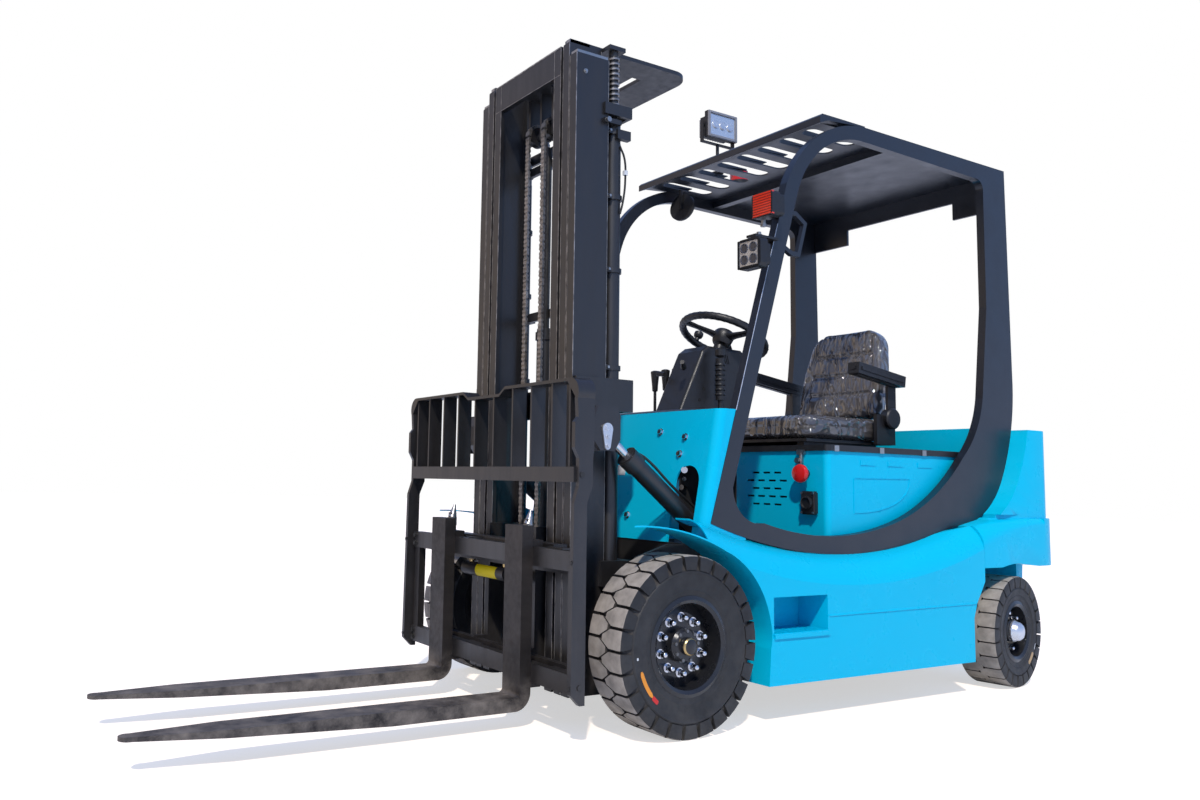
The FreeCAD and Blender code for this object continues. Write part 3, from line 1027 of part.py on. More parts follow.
def fork():
    """Left fork: shank, heel, tapered blade and its two hooks."""
    back = FORK_FACE_X - FORK_T
    tip = FORK_FACE_X + FORK_LEN
    top = FORK_UNDER + FORK_T
    heel_r = 55.0
    body = side_plate([
        (back, FORK_TOP), (FORK_FACE_X, FORK_TOP), (FORK_FACE_X, top + 12),
        ((FORK_FACE_X + 4, top + 4), (FORK_FACE_X + 12, top)),
        (tip, top), (tip, top - 10), (FORK_FACE_X + 420, FORK_UNDER), (back + heel_r, FORK_UNDER),
        ((back + heel_r * 0.293, FORK_UNDER + heel_r * 0.293), (back, FORK_UNDER + heel_r)),
    ], FORK_Y - FORK_W / 2, FORK_Y + FORK_W / 2)
    taper = 28.0
    nose = plan_plate([
        (0, FORK_Y - FORK_W / 2), (tip - 260, FORK_Y - FORK_W / 2), (tip - 30, FORK_Y - FORK_W / 2 + taper),
        ((tip, FORK_Y), (tip - 30, FORK_Y + FORK_W / 2 - taper)), (tip - 260, FORK_Y + FORK_W / 2),
        (0, FORK_Y + FORK_W / 2),
    ], 0, 1000)
    body = body.common(nose)
    up_z1 = BARS["upper"][1]
    top_hook = side_plate([(back + 1, up_z1 + 20), (BAR_BACK_X - 12, up_z1 + 20), (BAR_BACK_X - 12, up_z1 - 14),
                           (BAR_BACK_X - SEAT, up_z1 - 14), (BAR_BACK_X - SEAT, up_z1 + SEAT),
                           (back + 1, up_z1 + SEAT)], FORK_Y - FORK_W / 2 + 6, FORK_Y + FORK_W / 2 - 6)
    low_z0 = BARS["lower"][0]
    low_hook = side_plate([(back + 1, low_z0 - SEAT), (BAR_BACK_X - SEAT, low_z0 - SEAT),
                           (BAR_BACK_X - SEAT, low_z0 + 10), (BAR_BACK_X - 10, low_z0 + 10),
                           (BAR_BACK_X - 10, low_z0 - 18), (back + 1, low_z0 - 18)],
                          FORK_Y - FORK_W / 2 + 6, FORK_Y + FORK_W / 2 - 6)
    latch = box(back - 26, back - 4, FORK_Y - 10, FORK_Y + 10, up_z1 + 18, FORK_TOP + 18)
    return fuse(body, top_hook, low_hook, latch)


# Tilt cylinders
def tilt_cylinders():
    """Barrels pivoted in the chassis and rods pinned to the mast."""
    rear = Vector(TILT_REAR[0], TILT_Y, TILT_REAR[1])
    front = Vector(TILT_PIN[0], TILT_Y, TILT_PIN[1])
    axis = (front - rear).normalize()
    length = (front - rear).Length
    barrel_end = length - 130
    rear_eye = cyl_y(rear.x, rear.z, TILT_EYE_R - 6, TILT_Y - TILT_EYE_W / 2, TILT_Y + TILT_EYE_W / 2)
    barrel = fuse(
        Part.makeCylinder(18, 60, rear + axis * 10, axis),
        Part.makeCylinder(TILT_BARREL_R, barrel_end - 56, rear + axis * 54, axis),
        Part.makeCylinder(TILT_BARREL_R + 5, 50, rear + axis * (barrel_end - 55), axis),
    )
    bore = Part.makeCylinder(TILT_ROD_R + RUN, barrel_end, rear + axis * 60, axis)
    barrel = fuse(barrel, rear_eye).cut(bore).cut(
        cyl_y(rear.x, rear.z, TILT_PIN_R + RUN, TILT_Y - 60, TILT_Y + 60))
    rod = fuse(
        Part.makeCylinder(TILT_ROD_R, length - 180, rear + axis * 150, axis),
        cyl_y(front.x, front.z, TILT_EYE_R, TILT_Y - TILT_EYE_W / 2, TILT_Y + TILT_EYE_W / 2),
    ).cut(cyl_y(front.x, front.z, TILT_PIN_R + EYE_PLAY, TILT_Y - 60, TILT_Y + 60))
    for name, sign in LEFT_RIGHT:
        add("tilt_cylinder_barrel_" + name, side(barrel, sign))
        add("tilt_cylinder_rod_" + name, side(rod, sign))


front_wheels()
rear_wheels()
axles()
chassis()
for NAME, SIGN in LEFT_RIGHT:
    add("side_skirt_" + NAME, side(side_skirt(), SIGN))
    add("guard_side_frame_" + NAME, side(guard_side(), SIGN))
    add("fork_" + NAME, side(fork(), SIGN))
SHAPES["guard_side_frame_left"] = fuse(SHAPES["guard_side_frame_left"], grab_handle())
add("front_cowl", front_cowl())
add("seat_box", seat_box())
lid_and_seat()
counterweight()
add("guard_roof", guard_roof())
lamps()
controls()
outer_stage()
middle_stage()
inner_stage()
add("lift_carriage", lift_carriage())
shift_frame()
add("load_backrest", backrest())
tilt_cylinders()

# The origin is the centre of the footprint box, on the ground
ORIGIN_X = (FORK_FACE_X + FORK_LEN + CW_REAR_X) / 2


def export():
    """Write one file per node."""
    for name, shape in SHAPES.items():
        placed = shape.copy()
        placed.translate(Vector(-ORIGIN_X, 0, 0))
        placed.exportStep("parts/" + name + ".step")


export()
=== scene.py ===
"""Look of the electric forklift on its CAD frame: paint, tread, trim, seat, chains, light and camera."""
import math

import bmesh
import bpy
from mathutils import Matrix, Vector


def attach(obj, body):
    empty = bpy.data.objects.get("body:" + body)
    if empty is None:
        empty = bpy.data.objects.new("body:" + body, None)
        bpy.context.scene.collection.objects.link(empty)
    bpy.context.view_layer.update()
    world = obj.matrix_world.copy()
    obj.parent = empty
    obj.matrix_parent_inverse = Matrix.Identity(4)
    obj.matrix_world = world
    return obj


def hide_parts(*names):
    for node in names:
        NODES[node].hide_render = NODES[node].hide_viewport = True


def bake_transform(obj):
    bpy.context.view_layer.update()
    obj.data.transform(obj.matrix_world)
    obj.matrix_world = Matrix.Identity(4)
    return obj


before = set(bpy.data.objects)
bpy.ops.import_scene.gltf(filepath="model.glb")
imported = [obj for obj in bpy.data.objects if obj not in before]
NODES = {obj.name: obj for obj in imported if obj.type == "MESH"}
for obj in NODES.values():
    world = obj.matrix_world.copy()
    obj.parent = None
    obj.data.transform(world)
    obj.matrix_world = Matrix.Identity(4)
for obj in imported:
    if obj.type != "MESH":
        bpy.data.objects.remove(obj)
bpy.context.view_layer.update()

# Places are in millimetres ahead of the drive axle, left of the middle and above the ground; so are all sizes
# below, except where metres are named. AXLE_X is the drive axle's place in the frame, in metres.
AXLE_X = 0.23925
SIDES = (("left", 1), ("right", -1))
BOTH = (1, -1)
AHEAD, OUTWARD, UP = (1, 0, 0), (0, 1, 0), (0, 0, 1)
# Running gear
REST_STEER = math.radians(8.6)
KINGPIN_X, KINGPIN_Y, KINGPIN_TO_FACE = -1704.0, 425.0, 158.0
FRONT_FACE_Y = 613.0
# Seat: rear end of the cushion's pan, its length and its height
SEAT_REAR_X, SEAT_LENGTH, SEAT_Z = -1425.0, 470.0, 945.0
# Mast and fork bars
CHAIN_Y, CHAIN_PITCH = 50.0, 15.9
SHEAVE_X, SHEAVE_Z, SHEAVE_R = 141, 2005, 42
FRONT_CHAIN_X, REAR_CHAIN_X = SHEAVE_X + SHEAVE_R, SHEAVE_X - SHEAVE_R
LIFT_X, LIFT_Y = 50, 275
CLAMP_HEIGHTS = (1938, 1711, 1460, 1131)
BAR_FRONT_X = 363.5
# Guard's front leg and front cowl: foot and head of the line along which they lean, as x and z
LEG_FOOT, LEG_HEAD = (-180, 629), (-540, 1815)
COWL_FOOT, COWL_HEAD = (-140, 560), (-225, 1003)


def at(x, y, z):
    """Point in the frame, in metres."""
    return Vector((x / 1000 + AXLE_X, y / 1000, z / 1000))


def spot(place, sign=1):
    """Point in the frame from a place that is given for the left side."""
    x, y, z = place
    return at(x, sign * y, z)


def lean_x(foot, head, z):
    """Place along X at a height on the line from foot to head."""
    return foot[0] + (head[0] - foot[0]) * (z - foot[1]) / (head[1] - foot[1])


def arc(centre, radius, start, end, steps):
    """Points along an arc, as pairs; angles in degrees."""
    angles = [math.radians(start + (end - start) * k / steps) for k in range(steps + 1)]
    return [(centre[0] + radius * math.cos(a), centre[1] + radius * math.sin(a)) for a in angles]


# Shader nodes
def node(tree, kind, **values):
    """New shader node; a value sets the input of that name (_ for a space), or else the node's setting."""
    made = tree.nodes.new("ShaderNode" + kind)
    for key, value in values.items():
        name = key.replace("_", " ")
        if name in made.inputs:
            made.inputs[name].default_value = value
        else:
            setattr(made, key, value)
    return made


def feed(tree, value, socket):
    """Link an output to a socket, or set the socket to a plain value."""
    if isinstance(value, bpy.types.NodeSocket):
        tree.links.new(value, socket)
    else:
        socket.default_value = value


def calculate(tree, operation, a, b):
    """Result of a sum on two values, each an output or a number."""
    made = node(tree, "Math", operation=operation)
    feed(tree, a, made.inputs[0])
    feed(tree, b, made.inputs[1])
    return made.outputs[0]


def map_range(tree, value, low, high, to_low=0.0, to_high=1.0):
    """Value taken from one range to another, and held at its ends."""
    made = node(tree, "MapRange", From_Min=low, From_Max=high, To_Min=to_low, To_Max=to_high)
    tree.links.new(value, made.inputs["Value"])
    return made.outputs["Result"]


def coordinates(tree, kind):
    """X, Y and Z of the shaded place."""
    coords = node(tree, "TexCoord")
    split = node(tree, "SeparateXYZ")
    tree.links.new(coords.outputs[kind], split.inputs[0])
    return split.outputs


def noise(tree, scale, detail=4.0, rough=0.55, stretch=(1, 1, 1)):
    """Noise in the frame's own coordinates."""
    coords = node(tree, "TexCoord")
    mapping = node(tree, "Mapping", Scale=stretch)
    made = node(tree, "TexNoise", Scale=scale, Detail=detail, Roughness=rough)
    tree.links.new(coords.outputs["Object"], mapping.inputs["Vector"])
    tree.links.new(mapping.outputs["Vector"], made.inputs["Vector"])
    return made.outputs["Fac"]


def ramp(tree, source, stops):
    """Colour ramp over a value; stops are (place, colour)."""
    made = node(tree, "ValToRGB")
    elements = made.color_ramp.elements
    elements[0].position, elements[0].color = stops[0]
    elements[1].position, elements[1].color = stops[-1]
    for place, colour in stops[1:-1]:
        elements.new(place).color = colour
    tree.links.new(source, made.inputs["Fac"])
    return made.outputs["Color"]


def grey(value):
    """Opaque grey."""
    return (value, value, value, 1)


def mix_colour(tree, factor, low, high):
    """Mix of two colours, each an output or a colour."""
    made = node(tree, "Mix", data_type="RGBA")
    tree.links.new(factor, made.inputs[0])
    feed(tree, low, made.inputs[6])
    feed(tree, high, made.inputs[7])
    return made.outputs[2]


def add_bump(tree, height, strength, distance, socket):
    """Bump of a height in metres, linked to a normal socket."""
    lift = node(tree, "Bump", Strength=strength, Distance=distance)
    tree.links.new(height, lift.inputs["Height"])
    tree.links.new(lift.outputs["Normal"], socket)


# Materials
def material(name, colour, rough=0.5, metal=0.0, spread=0.08, bump=0.0, bump_scale=200.0, dust=0.0,
             dust_low=0.0, dust_high=0.6, dust_colour=(0.33, 0.29, 0.24, 1), coat=0.0, scale=6.0,
             stretch=(1, 1, 1), spec=0.5):
    """Surface with uneven colour and gloss, fine bump, and dust towards the ground; heights in metres."""
    made = bpy.data.materials.new(name)
    made.use_nodes = True
    tree = made.node_tree
    shader = tree.nodes["Principled BSDF"]
    shader.inputs["Metallic"].default_value = metal
    shader.inputs["Coat Weight"].default_value = coat
    shader.inputs["Coat Roughness"].default_value = 0.08
    shader.inputs["Specular IOR Level"].default_value = spec
    low = tuple(c * (1 - spread) for c in colour) + (1,)
    high = tuple(min(1.0, c * (1 + spread)) for c in colour) + (1,)
    base = ramp(tree, noise(tree, scale, stretch=stretch), [(0.3, low), (0.7, high)])
    gloss = ramp(tree, noise(tree, scale * 5, stretch=stretch),
                 [(0.3, grey(max(0.02, rough * 0.8))), (0.75, grey(min(1, rough * 1.25)))])
    if dust > 0:
        patch = ramp(tree, noise(tree, 9.0, detail=8.0, rough=0.7), [(0.38, grey(0.0)), (0.68, grey(dust))])
        near_ground = map_range(tree, coordinates(tree, "Object")["Z"], dust_low, dust_high, 1.0, 0.0)
        amount = calculate(tree, "MULTIPLY", patch, near_ground)
        base = mix_colour(tree, amount, base, dust_colour)
        gloss = mix_colour(tree, amount, gloss, grey(0.85))
    tree.links.new(base, shader.inputs["Base Color"])
    tree.links.new(gloss, shader.inputs["Roughness"])
    if bump > 0:
        add_bump(tree, noise(tree, bump_scale, detail=3.0), bump, 0.001, shader.inputs["Normal"])
    return made


def film_material():
    """Dark seat cloth under clear creased plastic film."""
    made = material("seat_under_film", (0.062, 0.055, 0.05), rough=0.6, spread=0.2, bump=0.3,
                    bump_scale=500.0)
    tree = made.node_tree
    shader = tree.nodes["Principled BSDF"]
    shader.inputs["Coat Weight"].default_value = 1.0
    shader.inputs["Coat Roughness"].default_value = 0.06
    shader.inputs["Coat IOR"].default_value = 1.9
    creases = noise(tree, 7.0, detail=1.6, rough=0.5, stretch=(1.0, 2.4, 0.8))
    folds = ramp(tree, creases, [(0.34, grey(0.0)), (0.42, grey(0.9)), (0.47, grey(0.1)), (0.52, grey(1.0)),
                                 (0.57, grey(0.15)), (0.66, grey(0.8))])
    add_bump(tree, folds, 1.0, 0.009, shader.inputs["Coat Normal"])
    return made


PAINT = {
    "cyan": material("cyan_paint", (0.0, 0.49, 0.70), rough=0.3, spread=0.015, scale=2.0, spec=0.16),
    "guard": material("guard_black", (0.007, 0.009, 0.014), rough=0.36, spread=0.1, spec=0.75, scale=2.0),
    "mast": material("mast_black", (0.011, 0.010, 0.010), rough=0.4, spread=0.25, bump=0.12, dust=0.2,
                     spec=0.8, dust_high=1.1, dust_colour=(0.1, 0.08, 0.065, 1), stretch=(1, 1, 0.15)),
    "chassis": material("chassis_black", (0.01, 0.01, 0.011), rough=0.5, dust=0.3),
    "fork": material("fork_steel", (0.028, 0.023, 0.02), rough=0.5, metal=0.3, spread=0.5, bump=0.25,
                     bump_scale=120.0, dust=0.9, dust_low=0.09, dust_high=0.16,
                     dust_colour=(0.27, 0.23, 0.19, 1), scale=10.0, stretch=(0.4, 1, 1)),
    "tyre": material("tyre_black", (0.014, 0.014, 0.014), rough=0.6, spread=0.3, bump=0.2, bump_scale=300.0,
                     dust=0.25, dust_high=0.6, dust_colour=(0.16, 0.145, 0.125, 1)),
    "tread": material("tread_dust", (0.29, 0.255, 0.215), rough=0.9, spread=0.3, bump=0.5, bump_scale=150.0,
                      scale=25.0),
    "rim": material("rim_black", (0.013, 0.013, 0.014), rough=0.3, coat=0.25, spread=0.2),
    "chrome": material("chrome", (0.75, 0.75, 0.76), rough=0.14, metal=1.0, spread=0.04),
    "steel": material("bare_steel", (0.42, 0.41, 0.39), rough=0.35, metal=1.0, spread=0.15, bump=0.1),
    "chain": material("chain_steel", (0.36, 0.33, 0.3), rough=0.36, metal=0.85, spread=0.35, scale=30.0),
    "plastic": material("black_plastic", (0.012, 0.012, 0.013), rough=0.42, bump=0.2, bump_scale=600.0),
    "rubber": material("black_rubber", (0.01, 0.01, 0.01), rough=0.65, bump=0.2, bump_scale=500.0),
    "seat": material("seat_vinyl", (0.17, 0.165, 0.165), rough=0.4, spread=0.12, bump=0.3, bump_scale=160.0,
                     coat=0.6),
    "red": material("red_plastic", (0.62, 0.012, 0.01), rough=0.3, coat=0.3),
    "yellow": material("yellow_label", (0.8, 0.62, 0.0), rough=0.45),
    "orange": material("orange_label", (0.8, 0.28, 0.02), rough=0.4),
    "brass": material("brass", (0.7, 0.5, 0.22), rough=0.3, metal=1.0),
    "grey": material("lamp_grey", (0.3, 0.3, 0.31), rough=0.4, metal=0.3),
    "pale": material("pale_plate", (0.62, 0.63, 0.62), rough=0.4),
    "battery": material("battery_case", (0.03, 0.03, 0.035), rough=0.6),
    "lug_side": material("lug_side", (0.05, 0.043, 0.036), rough=0.85, spread=0.35, bump=0.4,
                         bump_scale=150.0),
    "dull_steel": material("dull_steel", (0.2, 0.2, 0.2), rough=0.5, metal=0.9, spread=0.2),
    "dark_steel": material("dark_steel", (0.06, 0.058, 0.055), rough=0.42, metal=0.7, spread=0.3),
    "silver": material("silver_cap", (0.7, 0.71, 0.73), rough=0.3, metal=0.85),
    "worn_edge": material("worn_edge", (0.33, 0.31, 0.29), rough=0.4, metal=0.8, spread=0.6, scale=30.0),
    # Near-black for holes, notches and openings drawn flat: painted shade in place of their depth.
    "painted_gap_shade": material("painted_gap_shade", (0.004, 0.004, 0.004), rough=0.9),
    "red_label": material("red_label", (0.6, 0.02, 0.015), rough=0.45),
    "tan_label": material("tan_label", (0.46, 0.3, 0.14), rough=0.5),
    "white_label": material("white_label", (0.7, 0.7, 0.68), rough=0.45),
    "amber": material("amber_lens", (0.66, 0.035, 0.012), rough=0.2, coat=0.6),
    "red_lens": material("red_lens", (0.6, 0.01, 0.01), rough=0.15, coat=0.6),
    "reflector": material("reflector", (0.72, 0.73, 0.74), rough=0.22, metal=0.8, spread=0.06),
    "lamp_dark": material("lamp_dark", (0.1, 0.1, 0.11), rough=0.2, metal=0.6),
    "mirror": material("mirror_glass", (0.8, 0.82, 0.85), rough=0.03, metal=1.0, spread=0.01),
    "film": film_material(),
}


def pair(name):
    """Names of a left and a right node."""
    return (name + "_left", name + "_right")


NODE_PAINT = {
    "cyan": pair("side_skirt") + ("front_cowl", "seat_box", "counterweight"),
    "guard": pair("guard_side_frame") + ("guard_roof",),
    "mast": ("mast_outer_stage", "mast_middle_stage", "mast_inner_stage", "lift_carriage", "fork_bars",
             "load_backrest", "lift_cylinder_barrels", "sideshift_cylinder") + pair("tilt_cylinder_barrel"),
    "chassis": ("chassis_frame", "drive_axle", "steer_axle") + pair("steering_knuckle"),
    "fork": pair("fork"),
    "tyre": pair("front_tyre") + pair("rear_tyre"),
    "rim": pair("front_rim") + pair("rear_rim"),
    "chrome": ("lift_cylinder_rods",) + pair("tilt_cylinder_rod"),
    "chain": ("front_chain_runs", "rear_chain_runs", "tow_pin"),
    "plastic": ("battery_lid", "steering_column", "control_levers", "steering_wheel", "seat_base",
                "front_lamps", "rear_view_mirror", "panel_fittings", "roof_lamps"),
    "seat": ("seat_cushion", "seat_back"),
    "battery": ("battery_pack",),
}


# Mesh helpers
def smooth_faces(mesh, sharp=None):
    """Smooth shading, with sharp edges above an angle in degrees."""
    for face in mesh.polygons:
        face.use_smooth = True
    if sharp is not None:
        mesh.set_sharp_from_angle(angle=math.radians(sharp))


def from_bmesh(name, shape, paint, body, smooth=35.0):
    """Finish a bmesh as an object with a material, smooth faces and sharp edges, riding on a body."""
    bmesh.ops.recalc_face_normals(shape, faces=shape.faces)
    mesh = bpy.data.meshes.new(name)
    shape.to_mesh(mesh)
    shape.free()
    smooth_faces(mesh, smooth)
    mesh.materials.append(PAINT[paint])
    made = bpy.data.objects.new(name, mesh)
    bpy.context.scene.collection.objects.link(made)
    if body is not None:
        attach(made, body)
    return made


def apply_modifier(piece, modifier):
    """Replace the mesh by its evaluated form without the modifier."""
    graph = bpy.context.evaluated_depsgraph_get()
    mesh = bpy.data.meshes.new_from_object(piece.evaluated_get(graph))
    piece.modifiers.remove(modifier)
    old = piece.data
    piece.data = mesh
    bpy.data.meshes.remove(old)


def add_bevel_modifier(piece, width, segments, angle):
    """Round the edges that bend more than an angle in degrees; width in metres."""
    bevel = piece.modifiers.new("edge", "BEVEL")
    bevel.width = width
    bevel.segments = segments
    bevel.limit_method = "ANGLE"
    bevel.angle_limit = math.radians(angle)
    return bevel


def soften(shape, width, segments, shortest=0.0):
    """Round the edges of at least a length in metres; width in millimetres."""
    edges = [e for e in shape.edges if e.calc_length() >= shortest]
    bmesh.ops.bevel(shape, geom=edges, offset=width / 1000, segments=segments, affect="EDGES")


def turned_to(direction):
    """Rotation that takes +Z to a direction."""
    return Vector(direction).to_track_quat("Z", "Y").to_matrix().to_4x4()


def add_rod(shape, start, end, radius, sides=20, end_radius=None):
    """Round rod or cone between two points."""
    axis = end - start
    far_radius = radius if end_radius is None else end_radius
    bmesh.ops.create_cone(shape, cap_ends=True, segments=sides, radius1=radius / 1000,
                          radius2=far_radius / 1000, depth=axis.length,
                          matrix=Matrix.Translation((start + end) / 2) @ turned_to(axis))


def add_block(shape, corner, opposite, turn=None):
    """Box between two corners, turned about its centre."""
    size = opposite - corner
    place = Matrix.Translation((corner + opposite) / 2)
    if turn is not None:
        place = place @ turn
    scale = Matrix.Diagonal((abs(size.x), abs(size.y), abs(size.z), 1))
    bmesh.ops.create_cube(shape, size=1.0, matrix=place @ scale)


def add_faces(shape, rows, around=False, loop=False):
    """Four-sided faces between rows of vertices; around closes each row, loop joins last row and first."""
    made = []
    for a, b in list(zip(rows, rows[1:])) + ([(rows[-1], rows[0])] if loop else []):
        for k in range(len(a) if around else len(a) - 1):
            n = (k + 1) % len(a)
            made.append(shape.faces.new((a[k], a[n], b[n], b[k])))
    return made


def add_loft(shape, sections):
    """Closed form through outlines that have the same number of points."""
    rows = [[shape.verts.new(point) for point in section] for section in sections]
    add_faces(shape, rows, around=True)
    shape.faces.new(rows[0])
    shape.faces.new(list(reversed(rows[-1])))


def add_lathe(shape, centre, axis, profile, steps=64, closed=False):
    """Surface of revolution; profile is (radius, distance along the axis)."""
    turn = turned_to(axis)
    rings = []
    for radius, along in profile:
        angles = [2 * math.pi * k / steps for k in range(steps if radius > 0 else 1)]
        points = [Vector((radius * math.cos(a), radius * math.sin(a), along)) / 1000 for a in angles]
        rings.append([shape.verts.new(centre + (turn @ point)) for point in points])
    for a, b in list(zip(rings, rings[1:])) + ([(rings[-1], rings[0])] if closed else []):
        for k in range(steps):
            n = (k + 1) % steps
            if len(a) == 1:
                shape.faces.new((a[0], b[k], b[n]))
            elif len(b) == 1:
                shape.faces.new((a[k], a[n], b[0]))
            else:
                shape.faces.new((a[k], a[n], b[n], b[k]))


def add_bolt(shape, point, direction, radius, height):
    """Hexagon bolt head on a washer."""
    direction = Vector(direction).normalized()
    neck = point + direction * height * 0.18 / 1000
    add_rod(shape, point, neck, radius * 1.35, 20)
    add_rod(shape, neck, point + direction * height / 1000, radius, 6)


def add_all(shape, blocks=(), rods=(), bolts=(), turned=(), signs=(1,)):
    """Add simple forms, given for the left side, on each side in signs.

    A block is two corners; a rod is start, end, radius, sides and perhaps end radius; a bolt is foot,
    direction, radius and height; a turned form is centre, direction, profile, steps and perhaps whether it
    is closed.
    """
    for sign in signs:
        for corner, opposite in blocks:
            add_block(shape, spot(corner, sign), spot(opposite, sign))
        for start, end, *rest in rods:
            add_rod(shape, spot(start, sign), spot(end, sign), *rest)
        for add, rows in ((add_bolt, bolts), (add_lathe, turned)):
            for place, (x, y, z), *rest in rows:
                add(shape, spot(place, sign), Vector((x, sign * y, z)), *rest)


def form(name, paint, body, soft=None, smooth=35.0, **forms):
    """Object of simple forms; soft is a width, a number of segments and perhaps a shortest edge to soften."""
    shape = bmesh.new()
    add_all(shape, **forms)
    if soft is not None:
        soften(shape, *soft)
    return from_bmesh(name, shape, paint, body, smooth)


def frame_bars(half_width, half_height, bar):
    """Four bars of an upright rectangle, as lowest and highest place across and up."""
    inner_width, inner_height = half_width - bar, half_height - bar
    return ((-half_width, -inner_width, -half_height, half_height),
            (inner_width, half_width, -half_height, half_height),
            (-inner_width, inner_width, inner_height, half_height),
            (-inner_width, inner_width, -half_height, -inner_height))


def tube(name, paint, body, radius, places, sign=1):
    """Pipe or hose along places, smoothly bent."""
    curve = bpy.data.curves.new(name, "CURVE")
    curve.dimensions = "3D"
    curve.bevel_depth = radius / 1000
    curve.bevel_resolution = 6
    line = curve.splines.new("BEZIER")
    line.bezier_points.add(len(places) - 1)
    for point, place in zip(line.bezier_points, places):
        point.co = spot(place, sign)
        point.handle_left_type = point.handle_right_type = "AUTO"
    made = bpy.data.objects.new(name, curve)
    bpy.context.scene.collection.objects.link(made)
    bpy.ops.object.select_all(action="DESELECT")
    made.select_set(True)
    bpy.context.view_layer.objects.active = made
    bpy.ops.object.convert(target="MESH")
    made = bpy.context.object
    smooth_faces(made.data)
    made.data.materials.append(PAINT[paint])
    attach(made, body)
    return made


def dress_nodes():
    """Give every CAD node its material, smooth faces and small rounded edges."""
    for paint, names in NODE_PAINT.items():
        for name in names:
            piece = NODES[name]
            piece.data.materials.clear()
            piece.data.materials.append(PAINT[paint])
            smooth_faces(piece.data)
            add_bevel_modifier(piece, 0.0012, 1, 40)
            split = piece.modifiers.new("split", "EDGE_SPLIT")
            split.split_angle = math.radians(32)


# Wheels
# Tyre's radius and width, its lugs in a row, the groove between lugs and the length of a lug's straight part;
# the rim's radius; y of the disc and of the hub's face, from the wheel's outer face; the nuts, their ring,
# radius and length
WHEEL = {
    "front": dict(radius=270.0, width=155.0, lugs=26, groove=9.0, straight=54.0, rim=150.0, disc=-52.0,
                  hub=-30.0, nuts=10, nut_ring=82.0, nut_radius=9.5, nut_length=32),
    "rear": dict(radius=212.5, width=150.0, lugs=24, groove=5.0, straight=58.0, rim=118.0, disc=-48.0,
                 hub=-28.0, nuts=6, nut_ring=70.0, nut_radius=8.0, nut_length=24),
}
# Wheel end: name, paint, height over the hub's face, profile, steps
HUB_PARTS = {
    "front": (("front_hub_cap_", "rim", 4,
               [(30, 0), (30, 4), (27, 6), (26, 20), (23, 25), (14, 28), (0, 29)], 40),
              ("front_hub_ring_", "brass", 4, [(26.2, 18.5), (26.6, 20.5), (24.5, 24.5), (22.5, 25.8)], 40)),
    "rear": (("rear_hub_cap_", "silver", 8,
              [(41, 0), (41, 6), (38, 9), (35, 22), (26, 31), (13, 36), (0, 37)], 48),),
}
# Wheel end, name, paint, start and sweep in degrees, radius, width
LABELS = (
    ("front", "front_tyre_label", "orange", 17.0, 25.0, 198.0, 13.0),
    ("front", "front_tyre_label_end", "red_label", 42.0, 8.0, 198.0, 13.0),
    ("front", "front_tyre_spot", "pale", 5.0, 2.2, 205.0, 7.0),
    ("rear", "rear_tyre_label", "tan_label", 122.0, 22.0, 152.0, 15.0),
    ("rear", "rear_tyre_mark", "white_label", 150.0, 9.0, 160.0, 9.0),
)


def wheel_place(end, sign):
    """Matrix from a wheel's own frame, with its outer face at y = 0, to the frame."""
    flip = Matrix.Diagonal((0.001, 0.001 * sign, 0.001, 1))
    height = WHEEL[end]["radius"]
    if end == "front":
        return Matrix.Translation(at(0, sign * FRONT_FACE_Y, height)) @ flip
    turn = Matrix.Rotation(REST_STEER, 4, "Z")
    pin = Matrix.Translation(at(KINGPIN_X, sign * KINGPIN_Y, height))
    return pin @ turn @ Matrix.Translation((0, sign * KINGPIN_TO_FACE / 1000, 0)) @ flip


def lug_shape(wheel):
    """Points and faces of one lug at the top of the tyre, with paint indices 0 top, 1 side, 2 shoulder."""
    radius, straight = wheel["radius"], wheel["straight"]
    half_angle = math.pi / wheel["lugs"] - wheel["groove"] / 2 / radius
    tip_y = -wheel["width"] / 2 - 9
    floor = radius - 17
    # Top's radius and y, foot's radius and y, share of the half angle
    rows = (
        (radius, tip_y, floor, tip_y - 1, 0.3),
        (radius, -straight, floor, -straight, 1.0),
        (radius, -9.0, floor, -14.0, 1.0),
        (radius - 3, -2.5, floor - 3, -13.0, 0.99),
        (radius - 10, -0.3, floor - 8, -11.0, 0.97),
        (radius - 26, -0.2, floor - 16, -9.5, 0.9),
        (radius - 44, -1.2, radius - 47, -5.0, 0.8),
    )
    first_shoulder_row = 3
    shape = bmesh.new()
    grid = []
    for top_r, top_y, foot_r, foot_y, share in rows:
        foot, top = (foot_r, foot_y), (top_r, top_y)
        section = ((foot, -1.02), (top, -1), (top, 0), (top, 1), (foot, 1.02))
        line = []
        for (r, y), turn in section:
            angle = turn * share * half_angle
            line.append(shape.verts.new((r * math.sin(angle), y, r * math.cos(angle))))
        grid.append(line)
    for index, face in enumerate(add_faces(shape, grid)):
        row, column = divmod(index, 4)
        if row >= first_shoulder_row:
            face.material_index = 2
        elif column in (0, 3):
            face.material_index = 1
    shape.faces.new(grid[0]).material_index = 1
    edges = [e for e in shape.edges if len(e.link_faces) == 2 and e.calc_face_angle(0) > math.radians(28)]
    bmesh.ops.bevel(shape, geom=edges, offset=1.8, segments=2, affect="EDGES", clamp_overlap=True)
    shape.verts.index_update()
    points = [v.co.copy() for v in shape.verts]
    faces = [([v.index for v in f.verts], f.material_index) for f in shape.faces]
    shape.free()
    return points, faces


